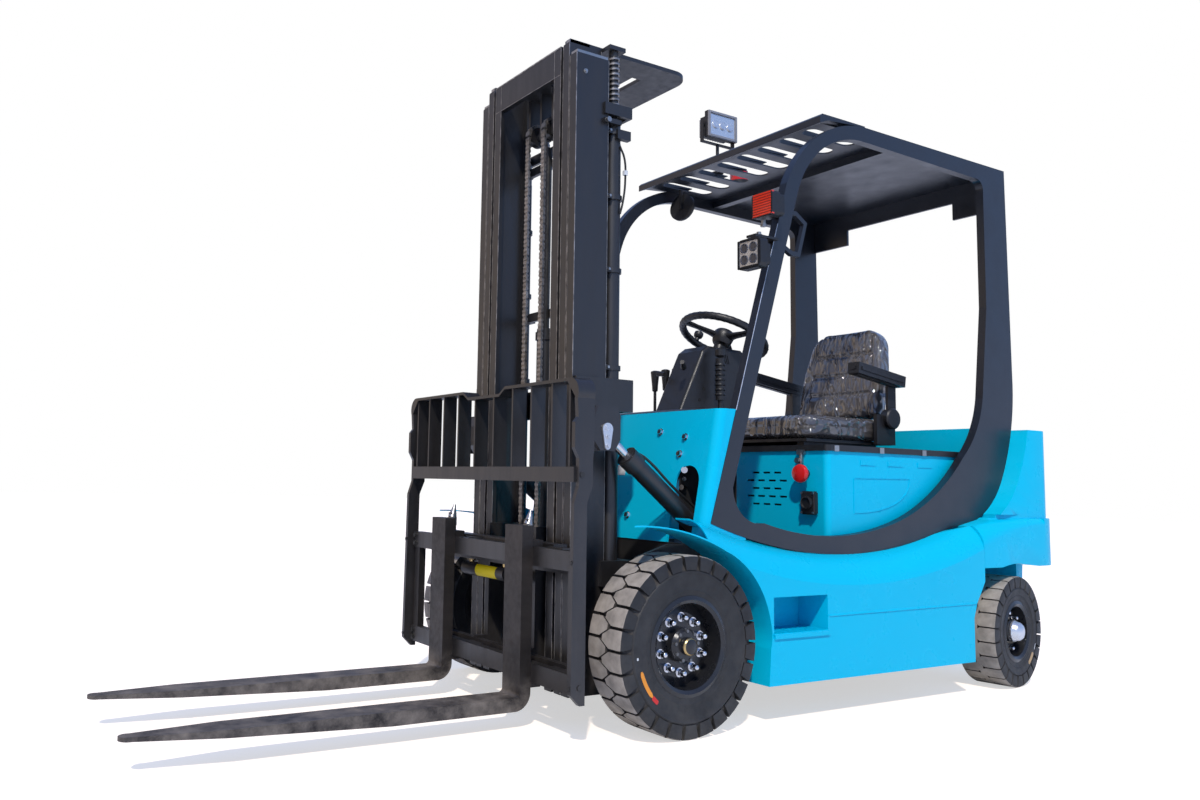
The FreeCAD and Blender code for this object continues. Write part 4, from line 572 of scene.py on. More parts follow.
def tyre_profile(radius, rim):
    """Outer half of the tyre's section from the bead to the middle of the crown, as (radius, y)."""
    ridge = radius - 49
    return [
        (rim - 12, -14), (rim - 4, -10), (rim + 6, -8), (rim + 14, -7.2), (rim + 17, -5.6), (rim + 20, -6.2),
        ((rim + ridge) / 2, -3.4), (ridge - 14, -1.9), (ridge - 5, -1.6), (ridge - 1.5, 0.0),
        (ridge + 2, -1.6), (ridge + 5, -5.2), (radius - 30, -9.5), (radius - 20, -13), (radius - 16.5, -18),
    ]


def build_tyre(end, side_name, sign):
    """Tyre with two staggered rows of pointed lugs and shoulder blocks."""
    wheel = WHEEL[end]
    shape = bmesh.new()
    half = tyre_profile(wheel["radius"], wheel["rim"])
    profile = half + [(r, -wheel["width"] - y) for r, y in reversed(half)]
    steps = 120
    angles = [2 * math.pi * k / steps for k in range(steps)]
    rings = [[shape.verts.new((r * math.sin(a), y, r * math.cos(a))) for a in angles] for r, y in profile]
    for index, face in enumerate(add_faces(shape, rings, around=True)):
        crown = len(half) - 4 <= index // steps <= len(profile) - len(half) + 2
        face.material_index = 1 if crown else 2
    points, faces = lug_shape(wheel)
    for k in range(2 * wheel["lugs"]):
        turn = Matrix.Rotation(k * math.pi / wheel["lugs"], 4, "Y")
        made = [shape.verts.new(turn @ Vector((x, -wheel["width"] - y if k % 2 else y, z)))
                for x, y, z in points]
        for indices, paint in faces:
            shape.faces.new([made[i] for i in indices]).material_index = paint
    bmesh.ops.transform(shape, matrix=wheel_place(end, sign), verts=shape.verts)
    name = end + "_tyre_" + side_name
    piece = from_bmesh("dressed_" + name, shape, "tread", end + "_wheel_" + side_name, 30)
    piece.data.materials.append(PAINT["lug_side"])
    piece.data.materials.append(PAINT["tyre"])
    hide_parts(name)


def ring_points(place, count, radius, y, start):
    """Points evenly spaced about a wheel's axis; start in radians."""
    angles = [start + 2 * math.pi * k / count for k in range(count)]
    return [place @ Vector((radius * math.cos(a), y, radius * math.sin(a))) for a in angles]


def add_domed_nut(shape, point, outward, radius, length):
    """Long nut with a domed end on a washer."""
    add_rod(shape, point, point + outward * 0.003, radius * 1.5, 24)
    add_rod(shape, point, point + outward * length * 0.45 / 1000, radius * 1.18, 6)
    dome = [(radius, 0), (radius, length * 0.75), (radius * 0.8, length * 0.9), (radius * 0.4, length * 0.98),
            (0, length)]
    add_lathe(shape, point, outward, dome, 18)


def wheel_fittings(end, side_name, sign):
    """Wheel nuts, hub bolts and hub cap."""
    wheel = WHEEL[end]
    place = wheel_place(end, sign)
    body = end + "_wheel_" + side_name
    outward = (place.to_3x3() @ Vector(OUTWARD)).normalized()
    nuts = bmesh.new()
    for point in ring_points(place, wheel["nuts"], wheel["nut_ring"], wheel["disc"], 0.35):
        add_domed_nut(nuts, point, outward, wheel["nut_radius"], wheel["nut_length"])
    from_bmesh(end + "_wheel_nuts_" + side_name, nuts, "chrome", body)
    if end == "front":
        bolts = bmesh.new()
        for point in ring_points(place, 9, 44.0, wheel["hub"] + 1, 0.2):
            add_bolt(bolts, point, outward, 5.5, 12)
        from_bmesh("front_hub_bolts_" + side_name, bolts, "dull_steel", body)
    for name, paint, lift, profile, steps in HUB_PARTS[end]:
        part = bmesh.new()
        add_lathe(part, place @ Vector((0, wheel["hub"] + lift, 0)), outward, profile, steps)
        from_bmesh(name + side_name, part, paint, body)


def sidewall_label(end, name, paint, start, sweep, radius, width):
    """Thin label that follows a left tyre's sidewall; angles in degrees from ahead, downwards."""
    wheel = WHEEL[end]
    place = wheel_place(end, 1)
    steps = 16
    edge = wheel["radius"] - 49
    middle = (wheel["rim"] + edge) / 2
    shape = bmesh.new()
    rows = []
    for k in range(steps + 1):
        angle = -math.radians(start + sweep * k / steps)
        end_share = min(k, steps - k) / 1.5
        half = width / 2 * (1.0 if end_share >= 1 else math.sqrt(max(0.15, end_share)))
        row = []
        for r in (radius - half, radius + half):
            share = (r - middle) / (edge - 14 - middle)
            y = -3.4 + max(0.0, min(1.0, share)) * 1.5 + 0.9
            row.append(shape.verts.new(place @ Vector((r * math.cos(angle), y, r * math.sin(angle)))))
        rows.append(row)
    add_faces(shape, rows)
    from_bmesh(name, shape, paint, end + "_wheel_left")


def build_wheels():
    """All four wheels' tyres and fittings, and the left ones' labels."""
    for side_name, sign in SIDES:
        for end in ("front", "rear"):
            build_tyre(end, side_name, sign)
            wheel_fittings(end, side_name, sign)
    for row in LABELS:
        sidewall_label(*row)


# Seat
def pad(name, low, high, place, cap, creases, round_along, round_high, corner):
    """Upholstered pad from a box in its own frame: swollen by cloth up to cap, then sewn along its creases.

    The edges along one axis that lie high on another are rounded by corner. A crease is its axis, its place
    on it, its depth and width, and where it runs. Cap and creases are in metres.
    """
    low, high = Vector(low), Vector(high)
    shape = bmesh.new()
    add_block(shape, low, high)
    corners = []
    for edge in shape.edges:
        start, end = (v.co for v in edge.verts)
        above = (start + end - low - high)[round_high] > 0
        if above and abs((end - start)[round_along]) > 1:
            corners.append(edge)
    bmesh.ops.bevel(shape, geom=corners, offset=corner, segments=6, affect="EDGES", profile=0.5)
    sharp = [e for e in shape.edges if e.calc_face_angle(0) > 0.6]
    bmesh.ops.bevel(shape, geom=sharp, offset=16.0, segments=4, affect="EDGES", profile=0.5)
    bmesh.ops.scale(shape, vec=(0.001, 0.001, 0.001), verts=shape.verts)
    piece = from_bmesh(name, shape, "film", None)
    bpy.context.view_layer.objects.active = piece
    remesh = piece.modifiers.new("even", "REMESH")
    remesh.mode = "VOXEL"
    remesh.voxel_size = 0.006
    remesh.use_smooth_shade = True
    apply_modifier(piece, remesh)
    unswollen = [v.co.copy() for v in piece.data.vertices]
    cloth = piece.modifiers.new("swell", "CLOTH")
    cloth.settings.use_pressure = True
    cloth.settings.uniform_pressure_force = 3.0
    cloth.settings.effector_weights.gravity = 0.0
    cloth.settings.quality = 4
    cloth.point_cache.frame_end = 20
    for step in range(1, 21):
        bpy.context.scene.frame_set(step)
    apply_modifier(piece, cloth)
    bpy.context.scene.frame_set(1)
    for vertex, before in zip(piece.data.vertices, unswollen):
        move = vertex.co - before
        if move.length > cap:
            vertex.co = before + move * (cap / move.length)
    for axis, value, depth, width, runs in creases:
        for vertex in piece.data.vertices:
            distance = abs(vertex.co[axis] - value)
            if distance < width * 3 and runs(vertex.co):
                vertex.co += vertex.normal * -depth * math.exp(-(distance / width) ** 2)
    piece.data.transform(place)
    smooth_faces(piece.data)
    fine = piece.modifiers.new("fine", "SUBSURF")
    fine.levels = fine.render_levels = 1
    return piece


def build_seat():
    """Foam cushion and back with sewn channels, in place of the plain blocks."""
    cushion_place = Matrix.Translation(at(SEAT_REAR_X + 20, 0, SEAT_Z))
    creases = [(1, y, 0.009, 0.008, lambda p: p.z > 0.05) for y in (0.150, -0.150)]
    creases += [(0, 0.315, 0.009, 0.008, lambda p: p.z > 0.05 and abs(p.y) < 0.155),
                (2, 0.050, 0.003, 0.004, lambda p: True)]
    cushion = pad("seat_pad", (8, -229, 5), (SEAT_LENGTH - 26, 229, 88), cushion_place, 0.007, creases,
                  2, 0, 55.0)
    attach(cushion, "lid")
    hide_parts("seat_cushion")
    lean = Matrix.Rotation(math.radians(-12), 4, "Y")
    back_place = Matrix.Translation(at(SEAT_REAR_X + 40, 0, SEAT_Z + 75)) @ lean
    creases = [(2, z, 0.011, 0.008, lambda p: p.x > -0.035 and abs(p.y) < 0.155)
               for z in (0.135, 0.225, 0.315)]
    creases += [(1, y, 0.010, 0.008, lambda p: p.x > -0.03) for y in (0.158, -0.158)]
    back = pad("seat_back_pad", (-80, -208, 30), (-5, 208, 434), back_place, 0.006, creases, 0, 2, 75.0)
    narrow_seat_back(back, back_place)
    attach(back, "lid")
    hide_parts("seat_back")


def narrow_seat_back(piece, place):
    """Draw the top of the back in, and round it forward a little."""
    inverse = place.inverted()
    for vertex in piece.data.vertices:
        local = inverse @ vertex.co
        rise = max(0.0, local.z - 0.2) / 0.22
        local.y *= 1 - 0.2 * min(1.0, rise) ** 1.5
        local.x += 0.012 * (abs(local.y) / 0.2) ** 2
        vertex.co = place @ local


def armrests():
    """Soft covers on the seat's armrests and round covers over its hinges."""
    turn = Matrix.Rotation(math.radians(-8), 4, "Y")
    centre = at(SEAT_REAR_X - 10, 0, SEAT_Z + 250)
    rear_x = SEAT_REAR_X - 43
    for side_name, sign in SIDES:
        shape = bmesh.new()
        add_all(shape, blocks=[((rear_x, 238, 1171), (rear_x + 297, 299, 1224))], signs=(sign,))
        soften(shape, 20, 5)
        bmesh.ops.transform(shape, matrix=Matrix.Translation(centre) @ turn @ Matrix.Translation(-centre),
                            verts=shape.verts)
        arm = from_bmesh("armrest_pad_" + side_name, shape, "plastic", "lid")
        form("seat_hinge_cover_" + side_name, "plastic", "lid", signs=(sign,), turned=[
            ((SEAT_REAR_X + 15, 269, 1040), OUTWARD, [(43, 0), (43, 6), (38, 11), (15, 13), (0, 13)], 40)])


# Mast
def mast_edges():
    """Worn bright edges of the mast's channels and the bright pieces at its head."""
    # Stage, outer face's y, flange's width, top
    for body, face, width, top in (("outer_mast", 305.0, 37.0, 2180.0), ("middle_mast", 262.0, 34.0, 2230.0),
                                   ("inner_mast", 213.0, 38.0, 2232.0)):
        edges = [((225.6, y - 0.9, 84), (227.7, y + 0.9, top - 2)) for y in (face, face - width)]
        edges.append(((92.4, face - 0.8, 84), (94.0, face + 0.8, top - 2)))
        form(body + "_worn_edges", "worn_edge", body, blocks=edges, signs=BOTH)
    form("top_tie_worn_edge", "worn_edge", "inner_mast", blocks=[
        ((226.4, -212, 2228), (228.0, 212, 2232.6)), ((226.4, -212, 2131.4), (227.8, 212, 2133))])
    form("stage_head_bright_blocks", "steel", "middle_mast", signs=BOTH,
         blocks=[((140, 236, 2229), (222, 258, 2244.5))], bolts=[((190, 305.2, 2120), OUTWARD, 6, 6)])
    form("outer_stage_bright_caps", "steel", "outer_mast", blocks=[((96, 270, 2180.2), (224, 304, 2190))],
         signs=BOTH)


def add_link(shape, x, y, z):
    """One waisted plate of a leaf chain."""
    half = CHAIN_PITCH / 2
    head = [(5.4, half), (3.6, half + 4.4), (-3.6, half + 4.4), (-5.4, half)]
    outline = head + [(-3.6, 0)] + [(-px, -pz) for px, pz in head] + [(3.6, 0)]
    add_loft(shape, [[at(x + px, y + side, z + pz) for px, pz in outline] for side in (1.2, -1.2)])


def plate_offsets(k):
    """Places across the chain of the plates in its link k."""
    return (-9.0, -3.0, 3.0, 9.0) if k % 2 == 0 else (-6.0, 0.0, 6.0)


def leaf_chain(name, x, z_low, replaced):
    """Leaf chain runs up to the sheaves: stacked plates on pins."""
    shape = bmesh.new()
    for y in (-CHAIN_Y, CHAIN_Y):
        for k in range(int((SHEAVE_Z - z_low) / CHAIN_PITCH)):
            z = z_low + (k + 0.5) * CHAIN_PITCH
            pin_z = z - CHAIN_PITCH / 2
            for offset in plate_offsets(k):
                add_link(shape, x, y + offset, z)
            add_rod(shape, at(x, y - 10.8, pin_z), at(x, y + 10.8, pin_z), 2.6, 8)
    piece = from_bmesh(name, shape, "chain", None, 40)
    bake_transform(piece)
    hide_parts(replaced)


def sheave_chain():
    """The chains where they bend over the sheaves, and the sheaves' hub rings."""
    shape = bmesh.new()
    count = 9
    for y in (-CHAIN_Y, CHAIN_Y):
        for k in range(count):
            angle = math.pi * (k + 0.5) / count
            x, z = SHEAVE_X + SHEAVE_R * math.cos(angle), SHEAVE_Z + SHEAVE_R * math.sin(angle)
            turn = Matrix.Rotation(math.pi / 2 - angle, 4, "Y")
            for offset in plate_offsets(k):
                near_y, far_y = y + offset - 1.2, y + offset + 1.2
                add_block(shape, at(x - 8.4, near_y, z - 5.2), at(x + 8.4, far_y, z + 5.2), turn)
    from_bmesh("sheave_chain_links", shape, "chain", "inner_mast", 40)
    ring = [(12.5, 0), (12.5, 2.2), (15, 2.2), (15, 0)]
    form("sheave_hub_rings", "chrome", "inner_mast", signs=BOTH,
         turned=[((SHEAVE_X, 80.2, SHEAVE_Z), OUTWARD, ring, 40)])


def build_chains():
    """Leaf chains in place of the plain runs, and the front chains' anchors."""
    leaf_chain("front_leaf_chains", FRONT_CHAIN_X, 484.0,
               "front_chain_runs")
    leaf_chain("rear_leaf_chains", REAR_CHAIN_X, 1937.0,
               "rear_chain_runs")
    sheave_chain()
    x, y = FRONT_CHAIN_X, CHAIN_Y
    form("chain_anchors", "dark_steel", "carriage", signs=BOTH,
         blocks=[((x - 9, y - 11, 470), (x + 9, y + 11, 500))],
         rods=[((x, y - 15, 492), (x, y + 15, 492), 4, 10), ((x, y, 415), (x, y, 472), 8, 12),
               ((x, y, 430), (x, y, 440), 13, 6)])


def lift_cylinder_trim():
    """Springs, sleeves, clamps, brackets, bolts and pipes at the lift cylinders."""
    coil = [(18.2, -3), (21.5, -3), (21.5, 3), (18.2, 3)]
    form("lift_rod_springs", "chain", "middle_mast", signs=BOTH,
         turned=[((LIFT_X, LIFT_Y, 2004 + k * 18), (0.08, 0, 1), coil, 24, True) for k in range(12)])
    rods = form("lift_cylinder_dark_rods", "dark_steel", "middle_mast", signs=BOTH,
                rods=[((LIFT_X, LIFT_Y, 385), (LIFT_X, LIFT_Y, 2229), 16, 32)])
    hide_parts("lift_cylinder_rods")
    sleeve = [(26.5, 0), (26.5, 90), (18.5, 90), (18.5, 0)]
    clamp = [(28.5, 0), (33.5, 0), (33.5, 16), (28.5, 16)]
    form("lift_cylinder_sleeves_and_clamps", "mast", "outer_mast", signs=BOTH,
         turned=[((LIFT_X, LIFT_Y, 1895), UP, sleeve, 40, True)]
         + [((LIFT_X, LIFT_Y, z - 8), UP, clamp, 40, True) for z in CLAMP_HEIGHTS],
         blocks=[((72, 283, z - 8), (98, 304, z + 8)) for z in CLAMP_HEIGHTS])
    form("middle_cylinder", "mast", "inner_mast",
         rods=[((128, 0, 110), (128, 0, 1290), 30, 40), ((128, 0, 1250), (128, 0, 1278), 35, 40)])
    form("middle_cylinder_rod", "dark_steel", "inner_mast", rods=[((128, 0, 1285), (128, 0, 1955), 14, 32)])
    form("lift_cylinder_brackets", "mast", "outer_mast", signs=BOTH,
         blocks=[((46, 304.6, 1958), (116, 318, 1974)), ((4, 296, 1912), (60, 316, 1944))])
    form("lift_cylinder_bolts", "steel", "outer_mast", signs=BOTH,
         rods=[((104, 318, 1966), (104, 327, 1966), 9, 16)]
         + [((84, 292, z), (84, 311, z), 4.8, 6) for z in CLAMP_HEIGHTS])
    for side_name, sign in SIDES:
        tube("lift_cylinder_pipe_" + side_name, "rubber", "outer_mast", 3.5, [
            (40, 303, 1890), (26, 309, 1850), (22, 310, 1780), (30, 309, 1700), (40, 306, 1655)], sign)
        form("lift_pipe_fitting_" + side_name, "pale", "outer_mast", signs=(sign,),
             blocks=[((16, 305, 1790), (30, 316, 1806))])


def mast_bracket_trim():
    """Pin keepers and bolts on the tilt cylinders' brackets, and the cylinders' pipes."""
    pin_x, face_y = 176, 423
    outline = arc((pin_x, 917), 20, -20, 200, 18) + arc((pin_x, 864), 11, 190, 350, 12)
    keepers = bmesh.new()
    for sign in BOTH:
        add_loft(keepers, [[at(x, sign * y, z) for x, z in outline] for y in (face_y, face_y + 5)])
    add_all(keepers, signs=BOTH, rods=[((pin_x, face_y, 922), (pin_x, face_y + 8, 922), 10, 24)],
            bolts=[((pin_x, face_y + 5, z), OUTWARD, 5.5, 8) for z in (893, 864)])
    from_bmesh("tilt_pin_keepers", keepers, "silver", "outer_mast")
    # The cylinder's axis in X and Z; the pipe's places along it and above it
    start, end = Vector((-330.0, 532.0)), Vector((175.0, 920.0))
    along = (end - start).normalized()
    up = Vector((-along.y, along.x))
    places = [start + along * share + up * lift for share, lift in
              ((80, 33), (110, 44), (300, 44), (440, 44), (468, 37))]
    for side_name, sign in SIDES:
        tube("tilt_cylinder_pipe_" + side_name, "dark_steel", "tilt_barrel_" + side_name, 4.5,
             [(x, 385, z) for x, z in places], sign)


# Carriage and forks
def carriage_trim():
    """Blank label, pipe elbows, hose, fork latches, bolts, and painted shade for the fork bar's notches."""
    label = bmesh.new()
    add_faces(label, [[label.verts.new(at(x, y, z)) for y in (-141, -7)]
                      for x, z in arc((289, 436), 24.6, -55, 55, 12)])
    from_bmesh("sideshift_blank_label", label, "yellow", "carriage")
    elbows = []
    for y in (-205, 20):
        elbows += [((289, y, 459), (289, y, 474), 8, 12), ((289, y, 470), (289, y + 22, 470), 6.5, 12)]
    form("sideshift_elbows", "brass", "carriage", rods=elbows)
    tube("sideshift_hose", "rubber", "carriage", 6.5, [
        (289, 44, 470), (287, 62, 466), (284, 72, 440), (280, 76, 405), (270, 70, 372), (250, 50, 360),
        (226, 20, 362)])
    form("fork_latch_pins", "steel", "fork_frame", signs=BOTH,
         rods=[((349, 250, 585), (349, 250, 615), 16.5, 20), ((349, 250, 615), (340, 250, 660), 16, 20, 4)])
    form("carriage_bolts", "dark_steel", "fork_frame", signs=BOTH,
         bolts=[((BAR_FRONT_X, 508, z), AHEAD, 9, 9) for z in (156, 180, 505, 534)]
         + [((x, 538, z), AHEAD, 6, 7) for x, z in ((388, 166), (386, 519))],
         rods=[((361, 546, z), (361, 549, z), 8.5, 16) for z in (772, 168)])
    # Thin near-black strips on the bar's top: painted shade in place of cut notches.
    notches = [50 * k for k in range(-9, 10) if abs(abs(50 * k) - 250) > 55]
    form("fork_bar_notch_shade", "painted_gap_shade", "fork_frame",
         blocks=[((336, y - 7, 547.2), (363.3, y + 7, 548.6)) for y in notches])


# Lamps and mirror
def lamp_lenses():
    """Frames, reflectors, lenses, posts and nuts of the lamps on the guard's legs."""
    work_y, work_z = 513, 1533
    work_x = lean_x(LEG_FOOT, LEG_HEAD, work_z) + 108
    turn_y, turn_z = 521, 1710
    turn_x = lean_x(LEG_FOOT, LEG_HEAD, 1705) + 106
    post_x, post_y = turn_x - 30, 500
    bowl = [(16.5, 0), (16.5, 3), (14.5, 3.6), (12, 1.5), (0, 1)]
    for side_name, sign in SIDES:
        side = dict(body="chassis", signs=(sign,))
        form("work_lamp_frame_" + side_name, "plastic", soft=(1.8, 2), **side,
             blocks=[((work_x - 2, work_y + y0, work_z + z0), (work_x + 5, work_y + y1, work_z + z1))
                     for y0, y1, z0, z1 in frame_bars(49, 49, 7)])
        form("work_lamp_reflector_" + side_name, "reflector", **side, blocks=[
            ((work_x - 1, work_y - 43, work_z - 43), (work_x + 0.8, work_y + 43, work_z + 43))])
        form("work_lamp_bowls_" + side_name, "lamp_dark", **side,
             turned=[((work_x + 0.6, work_y + dy, work_z + dz), AHEAD, bowl, 28)
                     for dy in (-20, 20) for dz in (-20, 20)])
        lens = bmesh.new()
        add_all(lens, signs=(sign,), blocks=[
            ((turn_x - 1, turn_y - 40, z - 3.6), (turn_x + 2.2, turn_y + 40, z + 3.6))
            for z in range(turn_z - 36, turn_z + 37, 9)])
        soften(lens, 1.2, 2)
        add_all(lens, signs=(sign,), blocks=[
            ((turn_x - 12, turn_y - 44, turn_z - 40), (turn_x - 0.5, turn_y + 44, turn_z + 40))])
        from_bmesh("turn_lamp_ribs_" + side_name, lens, "amber", "chassis")
        form("turn_lamp_post_" + side_name, "steel", **side, rods=[
            ((post_x, post_y, 1648), (post_x, post_y, 1664), 7, 16),
            ((post_x, post_y, 1641), (post_x, post_y, 1650), 11, 6)])
        form("work_lamp_nut_" + side_name, "steel", **side, bolts=[((work_x - 48, work_y, 1604), UP, 8, 10)])


def roof_lamp_trim():
    """Frame, glass, spots and fins of the flood lamp, lens of the beacon, and the mirror's glass."""
    x, y, z = -905.0, -206.0, 2312.0
    front_y = y + 31.5
    form("flood_lamp_frame", "grey", "chassis", soft=(2, 2),
         blocks=[((x + x0, y + 27, z + z0), (x + x1, y + 37, z + z1))
                 for x0, x1, z0, z1 in frame_bars(84, 58, 12)])
    form("flood_lamp_glass", "reflector", "chassis",
         blocks=[((x - 73, y + 29, z - 47), (x + 73, front_y, z + 47))])
    form("flood_lamp_spots", "silver", "chassis",
         turned=[((x + dx, front_y, z), OUTWARD, [(17, 0), (17, 3), (14, 4.5), (0, 2)], 28)
                 for dx in (-42, 0, 42)])
    form("flood_lamp_fins", "grey", "chassis",
         blocks=[((fin_x - 2, y - 46, z - 40), (fin_x + 2, y - 33, z + 40)) for fin_x in
                 [x - 60 + 15 * k for k in range(9)]])
    form("beacon_lens", "red_lens", "chassis",
         turned=[((-1080, -250, 2115), UP, [(40, 0), (40, 35), (36, 45), (22, 51), (0, 53)], 40)])
    facing = Vector((-1, -0.25, -0.12)).normalized()
    mirror = bmesh.new()
    add_lathe(mirror, at(-893, -420, 2008) + facing * 0.0125, facing,
              [(57, 0), (45, 2), (25, 3.8), (0, 4.5)], 48)
    from_bmesh("mirror_glass", mirror, "mirror", "chassis")


# Driver's place
def steering_wheel():
    """Wheel rim with finger grooves, three spokes, hub and knob, in place of the plain wheel."""
    lean = math.radians(25)
    axis = Vector((-math.sin(lean), 0, math.cos(lean)))
    across = Vector(OUTWARD)
    fore = across.cross(axis).normalized()
    hub = at(-735, 0, 1345)
    steps, sides = 120, 16
    grip = bmesh.new()
    ring = []
    for k in range(steps):
        angle = 2 * math.pi * k / steps
        out = fore * math.cos(angle) + across * math.sin(angle)
        radius = 0.0148 + 0.0006 * math.cos(angle * 40)
        turns = [2 * math.pi * i / sides for i in range(sides)]
        ring.append([grip.verts.new(hub + out * (0.167 + radius * math.cos(a)) + axis * radius * math.sin(a))
                     for a in turns])
    add_faces(grip, ring, around=True, loop=True)
    # Distance from the hub, half width, lift and half thickness of a spoke's sections, in metres
    sections = ((0.02, 0.026, -0.004, 0.013), (0.06, 0.019, -0.001, 0.010), (0.11, 0.016, 0.0, 0.008),
                (0.16, 0.021, 0.0, 0.009))
    turns = [2 * math.pi * i / 12 for i in range(12)]
    for angle in (math.radians(a) for a in (90, 210, 330)):
        out = fore * -math.cos(angle) + across * math.sin(angle)
        wide = axis.cross(out).normalized()
        add_loft(grip, [[hub + out * share + wide * half * math.cos(a) + axis * (lift + thick * math.sin(a))
                         for a in turns] for share, half, lift, thick in sections])
    add_lathe(grip, hub - axis * 0.034, axis, [
        (0, 0), (32, 0), (37, 8), (40, 22), (42, 36), (40, 50), (34, 58), (20, 61), (0, 62)], 48)
    add_lathe(grip, hub - across * 0.156 + axis * 0.006, axis, [
        (0, 0), (9, 0), (9, 10), (17, 16), (19.5, 26), (18, 37), (10, 42), (0, 42.5)], 32)
    wheel = from_bmesh("steering_wheel_grip", grip, "plastic", "hand_wheel", 50)
    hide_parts("steering_wheel")


def cab_trim():
    """Lever grips and boots, the cowl's mat, and the steering column's ribs, stalks and holes drawn as
    painted shade.
    """
    grip = [(9.5, 0), (11.5, 4), (12.5, 30), (16, 66), (17.8, 76), (16.5, 83), (8, 86), (0, 86.2)]
    boot = [(30, 0), (26, 6), (27, 10), (21, 16), (22, 20), (14, 26), (6.5, 30)]
    bellows = [(12, 0)] + [(20.5 if k % 2 else 14.5, 6 + 9.5 * k) for k in range(15)] + [(12, 155), (0, 158)]
    knob = [(10, 0), (19, 6), (19, 30), (12, 36), (0, 37)]
    turned = []
    for y in (-226, -162, -98):
        turned += [((-575, y, 1130), UP, grip, 28), ((-575, y, 1003), UP, boot, 28)]
    turned += [((-600, 120, 1080), UP, bellows, 28), ((-600, 120, 1240), UP, knob, 24)]
    form("lever_grips", "plastic", "chassis", turned=turned)
    mat = bmesh.new()
    half_width = 480
    rows = []
    for k in range(15):
        share = k / 14
        row = []
        for i in range(41):
            y = half_width * (i / 20 - 1)
            dome = 1 - (abs(y) / half_width) ** 4
            lift = 1.0 + 11.0 * math.sin(math.pi * share) ** 0.6 * dome
            row.append(mat.verts.new(at(-232 - share * 98, y, 1003 + lift)))
        rows.append(row)
    add_faces(mat, rows)
    from_bmesh("cowl_top_mat", mat, "plastic", "chassis")
    # Near-black discs on the column cover: painted shade in place of its holes.
    form("column_cover_hole_shade", "painted_gap_shade", "chassis",
         rods=[((x, 73.6, z), (x, 74.8, z), 7, 20) for x, z in ((-560, 1118), (-538, 1076))])
    ribs = bmesh.new()
    for k in range(5):
        x = -690 + k * 9
        add_block(ribs, at(x, 60, 1225), at(x + 4, 76.5, 1262), Matrix.Rotation(0.3, 4, "Y"))
    from_bmesh("column_cover_ribs", ribs, "plastic", "chassis")
    form("column_stalks", "plastic", "chassis", rods=[
        ((-470, 60, 1195), (-430, 96, 1210), 11, 16, 8), ((-480, -60, 1180), (-476, -96, 1186), 9, 16, 11)])


# Body
def cowl_trim():
    """Bolts, painted shade in its openings, fittings and blank plate of the front cowl."""
    slope = (COWL_FOOT[0] - COWL_HEAD[0]) / (COWL_HEAD[1] - COWL_FOOT[1])
    places = ((230, 932), (359, 911), (343, 854), (120, 640), (-120, 640), (-230, 932), (-359, 911))
    form("cowl_bolts", "chrome", "chassis",
         bolts=[((lean_x(COWL_FOOT, COWL_HEAD, z), y, z), (1, 0, slope), 9.5, 10) for y, z in places])
    # Thin near-black sheets in the cowl's openings: painted shade where the openings are dark.
    form("cowl_opening_painted_shade", "painted_gap_shade", "chassis", signs=BOTH,
         blocks=[((-330, 338, 590), (-197, 340, 830)), ((-331, 340, 590), (-329, 470, 960))])
    form("cowl_opening_fittings", "chrome", "chassis", rods=[
        ((-215, 352, 800), (-190, 372, 800), 11, 16), ((-222, 345, 776), (-200, 360, 770), 8, 6),
        ((-215, 345, 740), (-195, 352, 742), 9, 16)])
    plate = bmesh.new()
    x = lean_x(COWL_FOOT, COWL_HEAD, 798)
    add_block(plate, at(x + 0.4, -10, 780), at(x + 2.4, 70, 816), Matrix.Rotation(-math.atan(slope), 4, "Y"))
    from_bmesh("cowl_blank_plate", plate, "pale", "chassis")


def seat_box_trim():
    """Stop button, charge socket, latch and hinges of the seat box."""
    socket_y, socket_z = 386, 696
    form("charge_socket", "plastic", "chassis", soft=(5, 3), blocks=[((-790, 354, 654), (-766, 418, 738))])
    stem = form("stop_button_stem", "plastic", "chassis", rods=[((-790, 362, 802), (-764, 362, 802), 17, 32)])
    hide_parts("panel_fittings")
    form("stop_button_head", "red", "chassis", turned=[
        ((-768, 364, 802), AHEAD, [(17, 0), (29, 1), (33, 6), (34, 14), (30, 22), (18, 26.5), (0, 28)], 40)])
    form("seat_box_bright_fittings", "steel", "chassis",
         rods=[((-786, 340, 822), (-778, 350, 878), 4, 12), ((-782, 334, 850), (-770, 334, 850), 10, 20)]
         + [((-767, socket_y + dy, socket_z + dz), (-764, socket_y + dy, socket_z + dz), 4.5, 14)
            for dy in (-25, 25) for dz in (-35, 35)],
         blocks=[((-789.5, 330, 872), (-776, 362, 890)), ((-789.5, 336, 838), (-782, 352, 874))]
         + [((x - 12, 465.6, 884), (x + 12, 467.4, 905)) for x in (-830, -1080, -1330, -1560)])
    form("charge_socket_ring", "plastic", "chassis", turned=[
        ((-766, socket_y, socket_z), AHEAD, [(24, 0), (24, 8), (20, 10), (18, 3), (0, 3)], 36)])


def add_pressed_window(shape, low, high):
    """Raised quarter-round outline on the seat box's side, between two places along Y."""
    outer = [(-926, 792), (-1255, 795)]
    for k in range(9):
        angle = math.radians(90 * k / 8)
        outer.append((-926 - 329 * math.cos(angle) ** 0.9, 795 - 135 * math.sin(angle) ** 0.9))
    middle_x, middle_z = -1050, 745
    rows = []
    for x, z in outer:
        inner_x, inner_z = middle_x + (x - middle_x) * 0.95, middle_z + (z - middle_z) * 0.89
        section = ((x, low, z), (x, high, z), (inner_x, high, inner_z), (inner_x, low, inner_z))
        rows.append([shape.verts.new(at(*place)) for place in section])
    add_faces(shape, rows, around=True, loop=True)


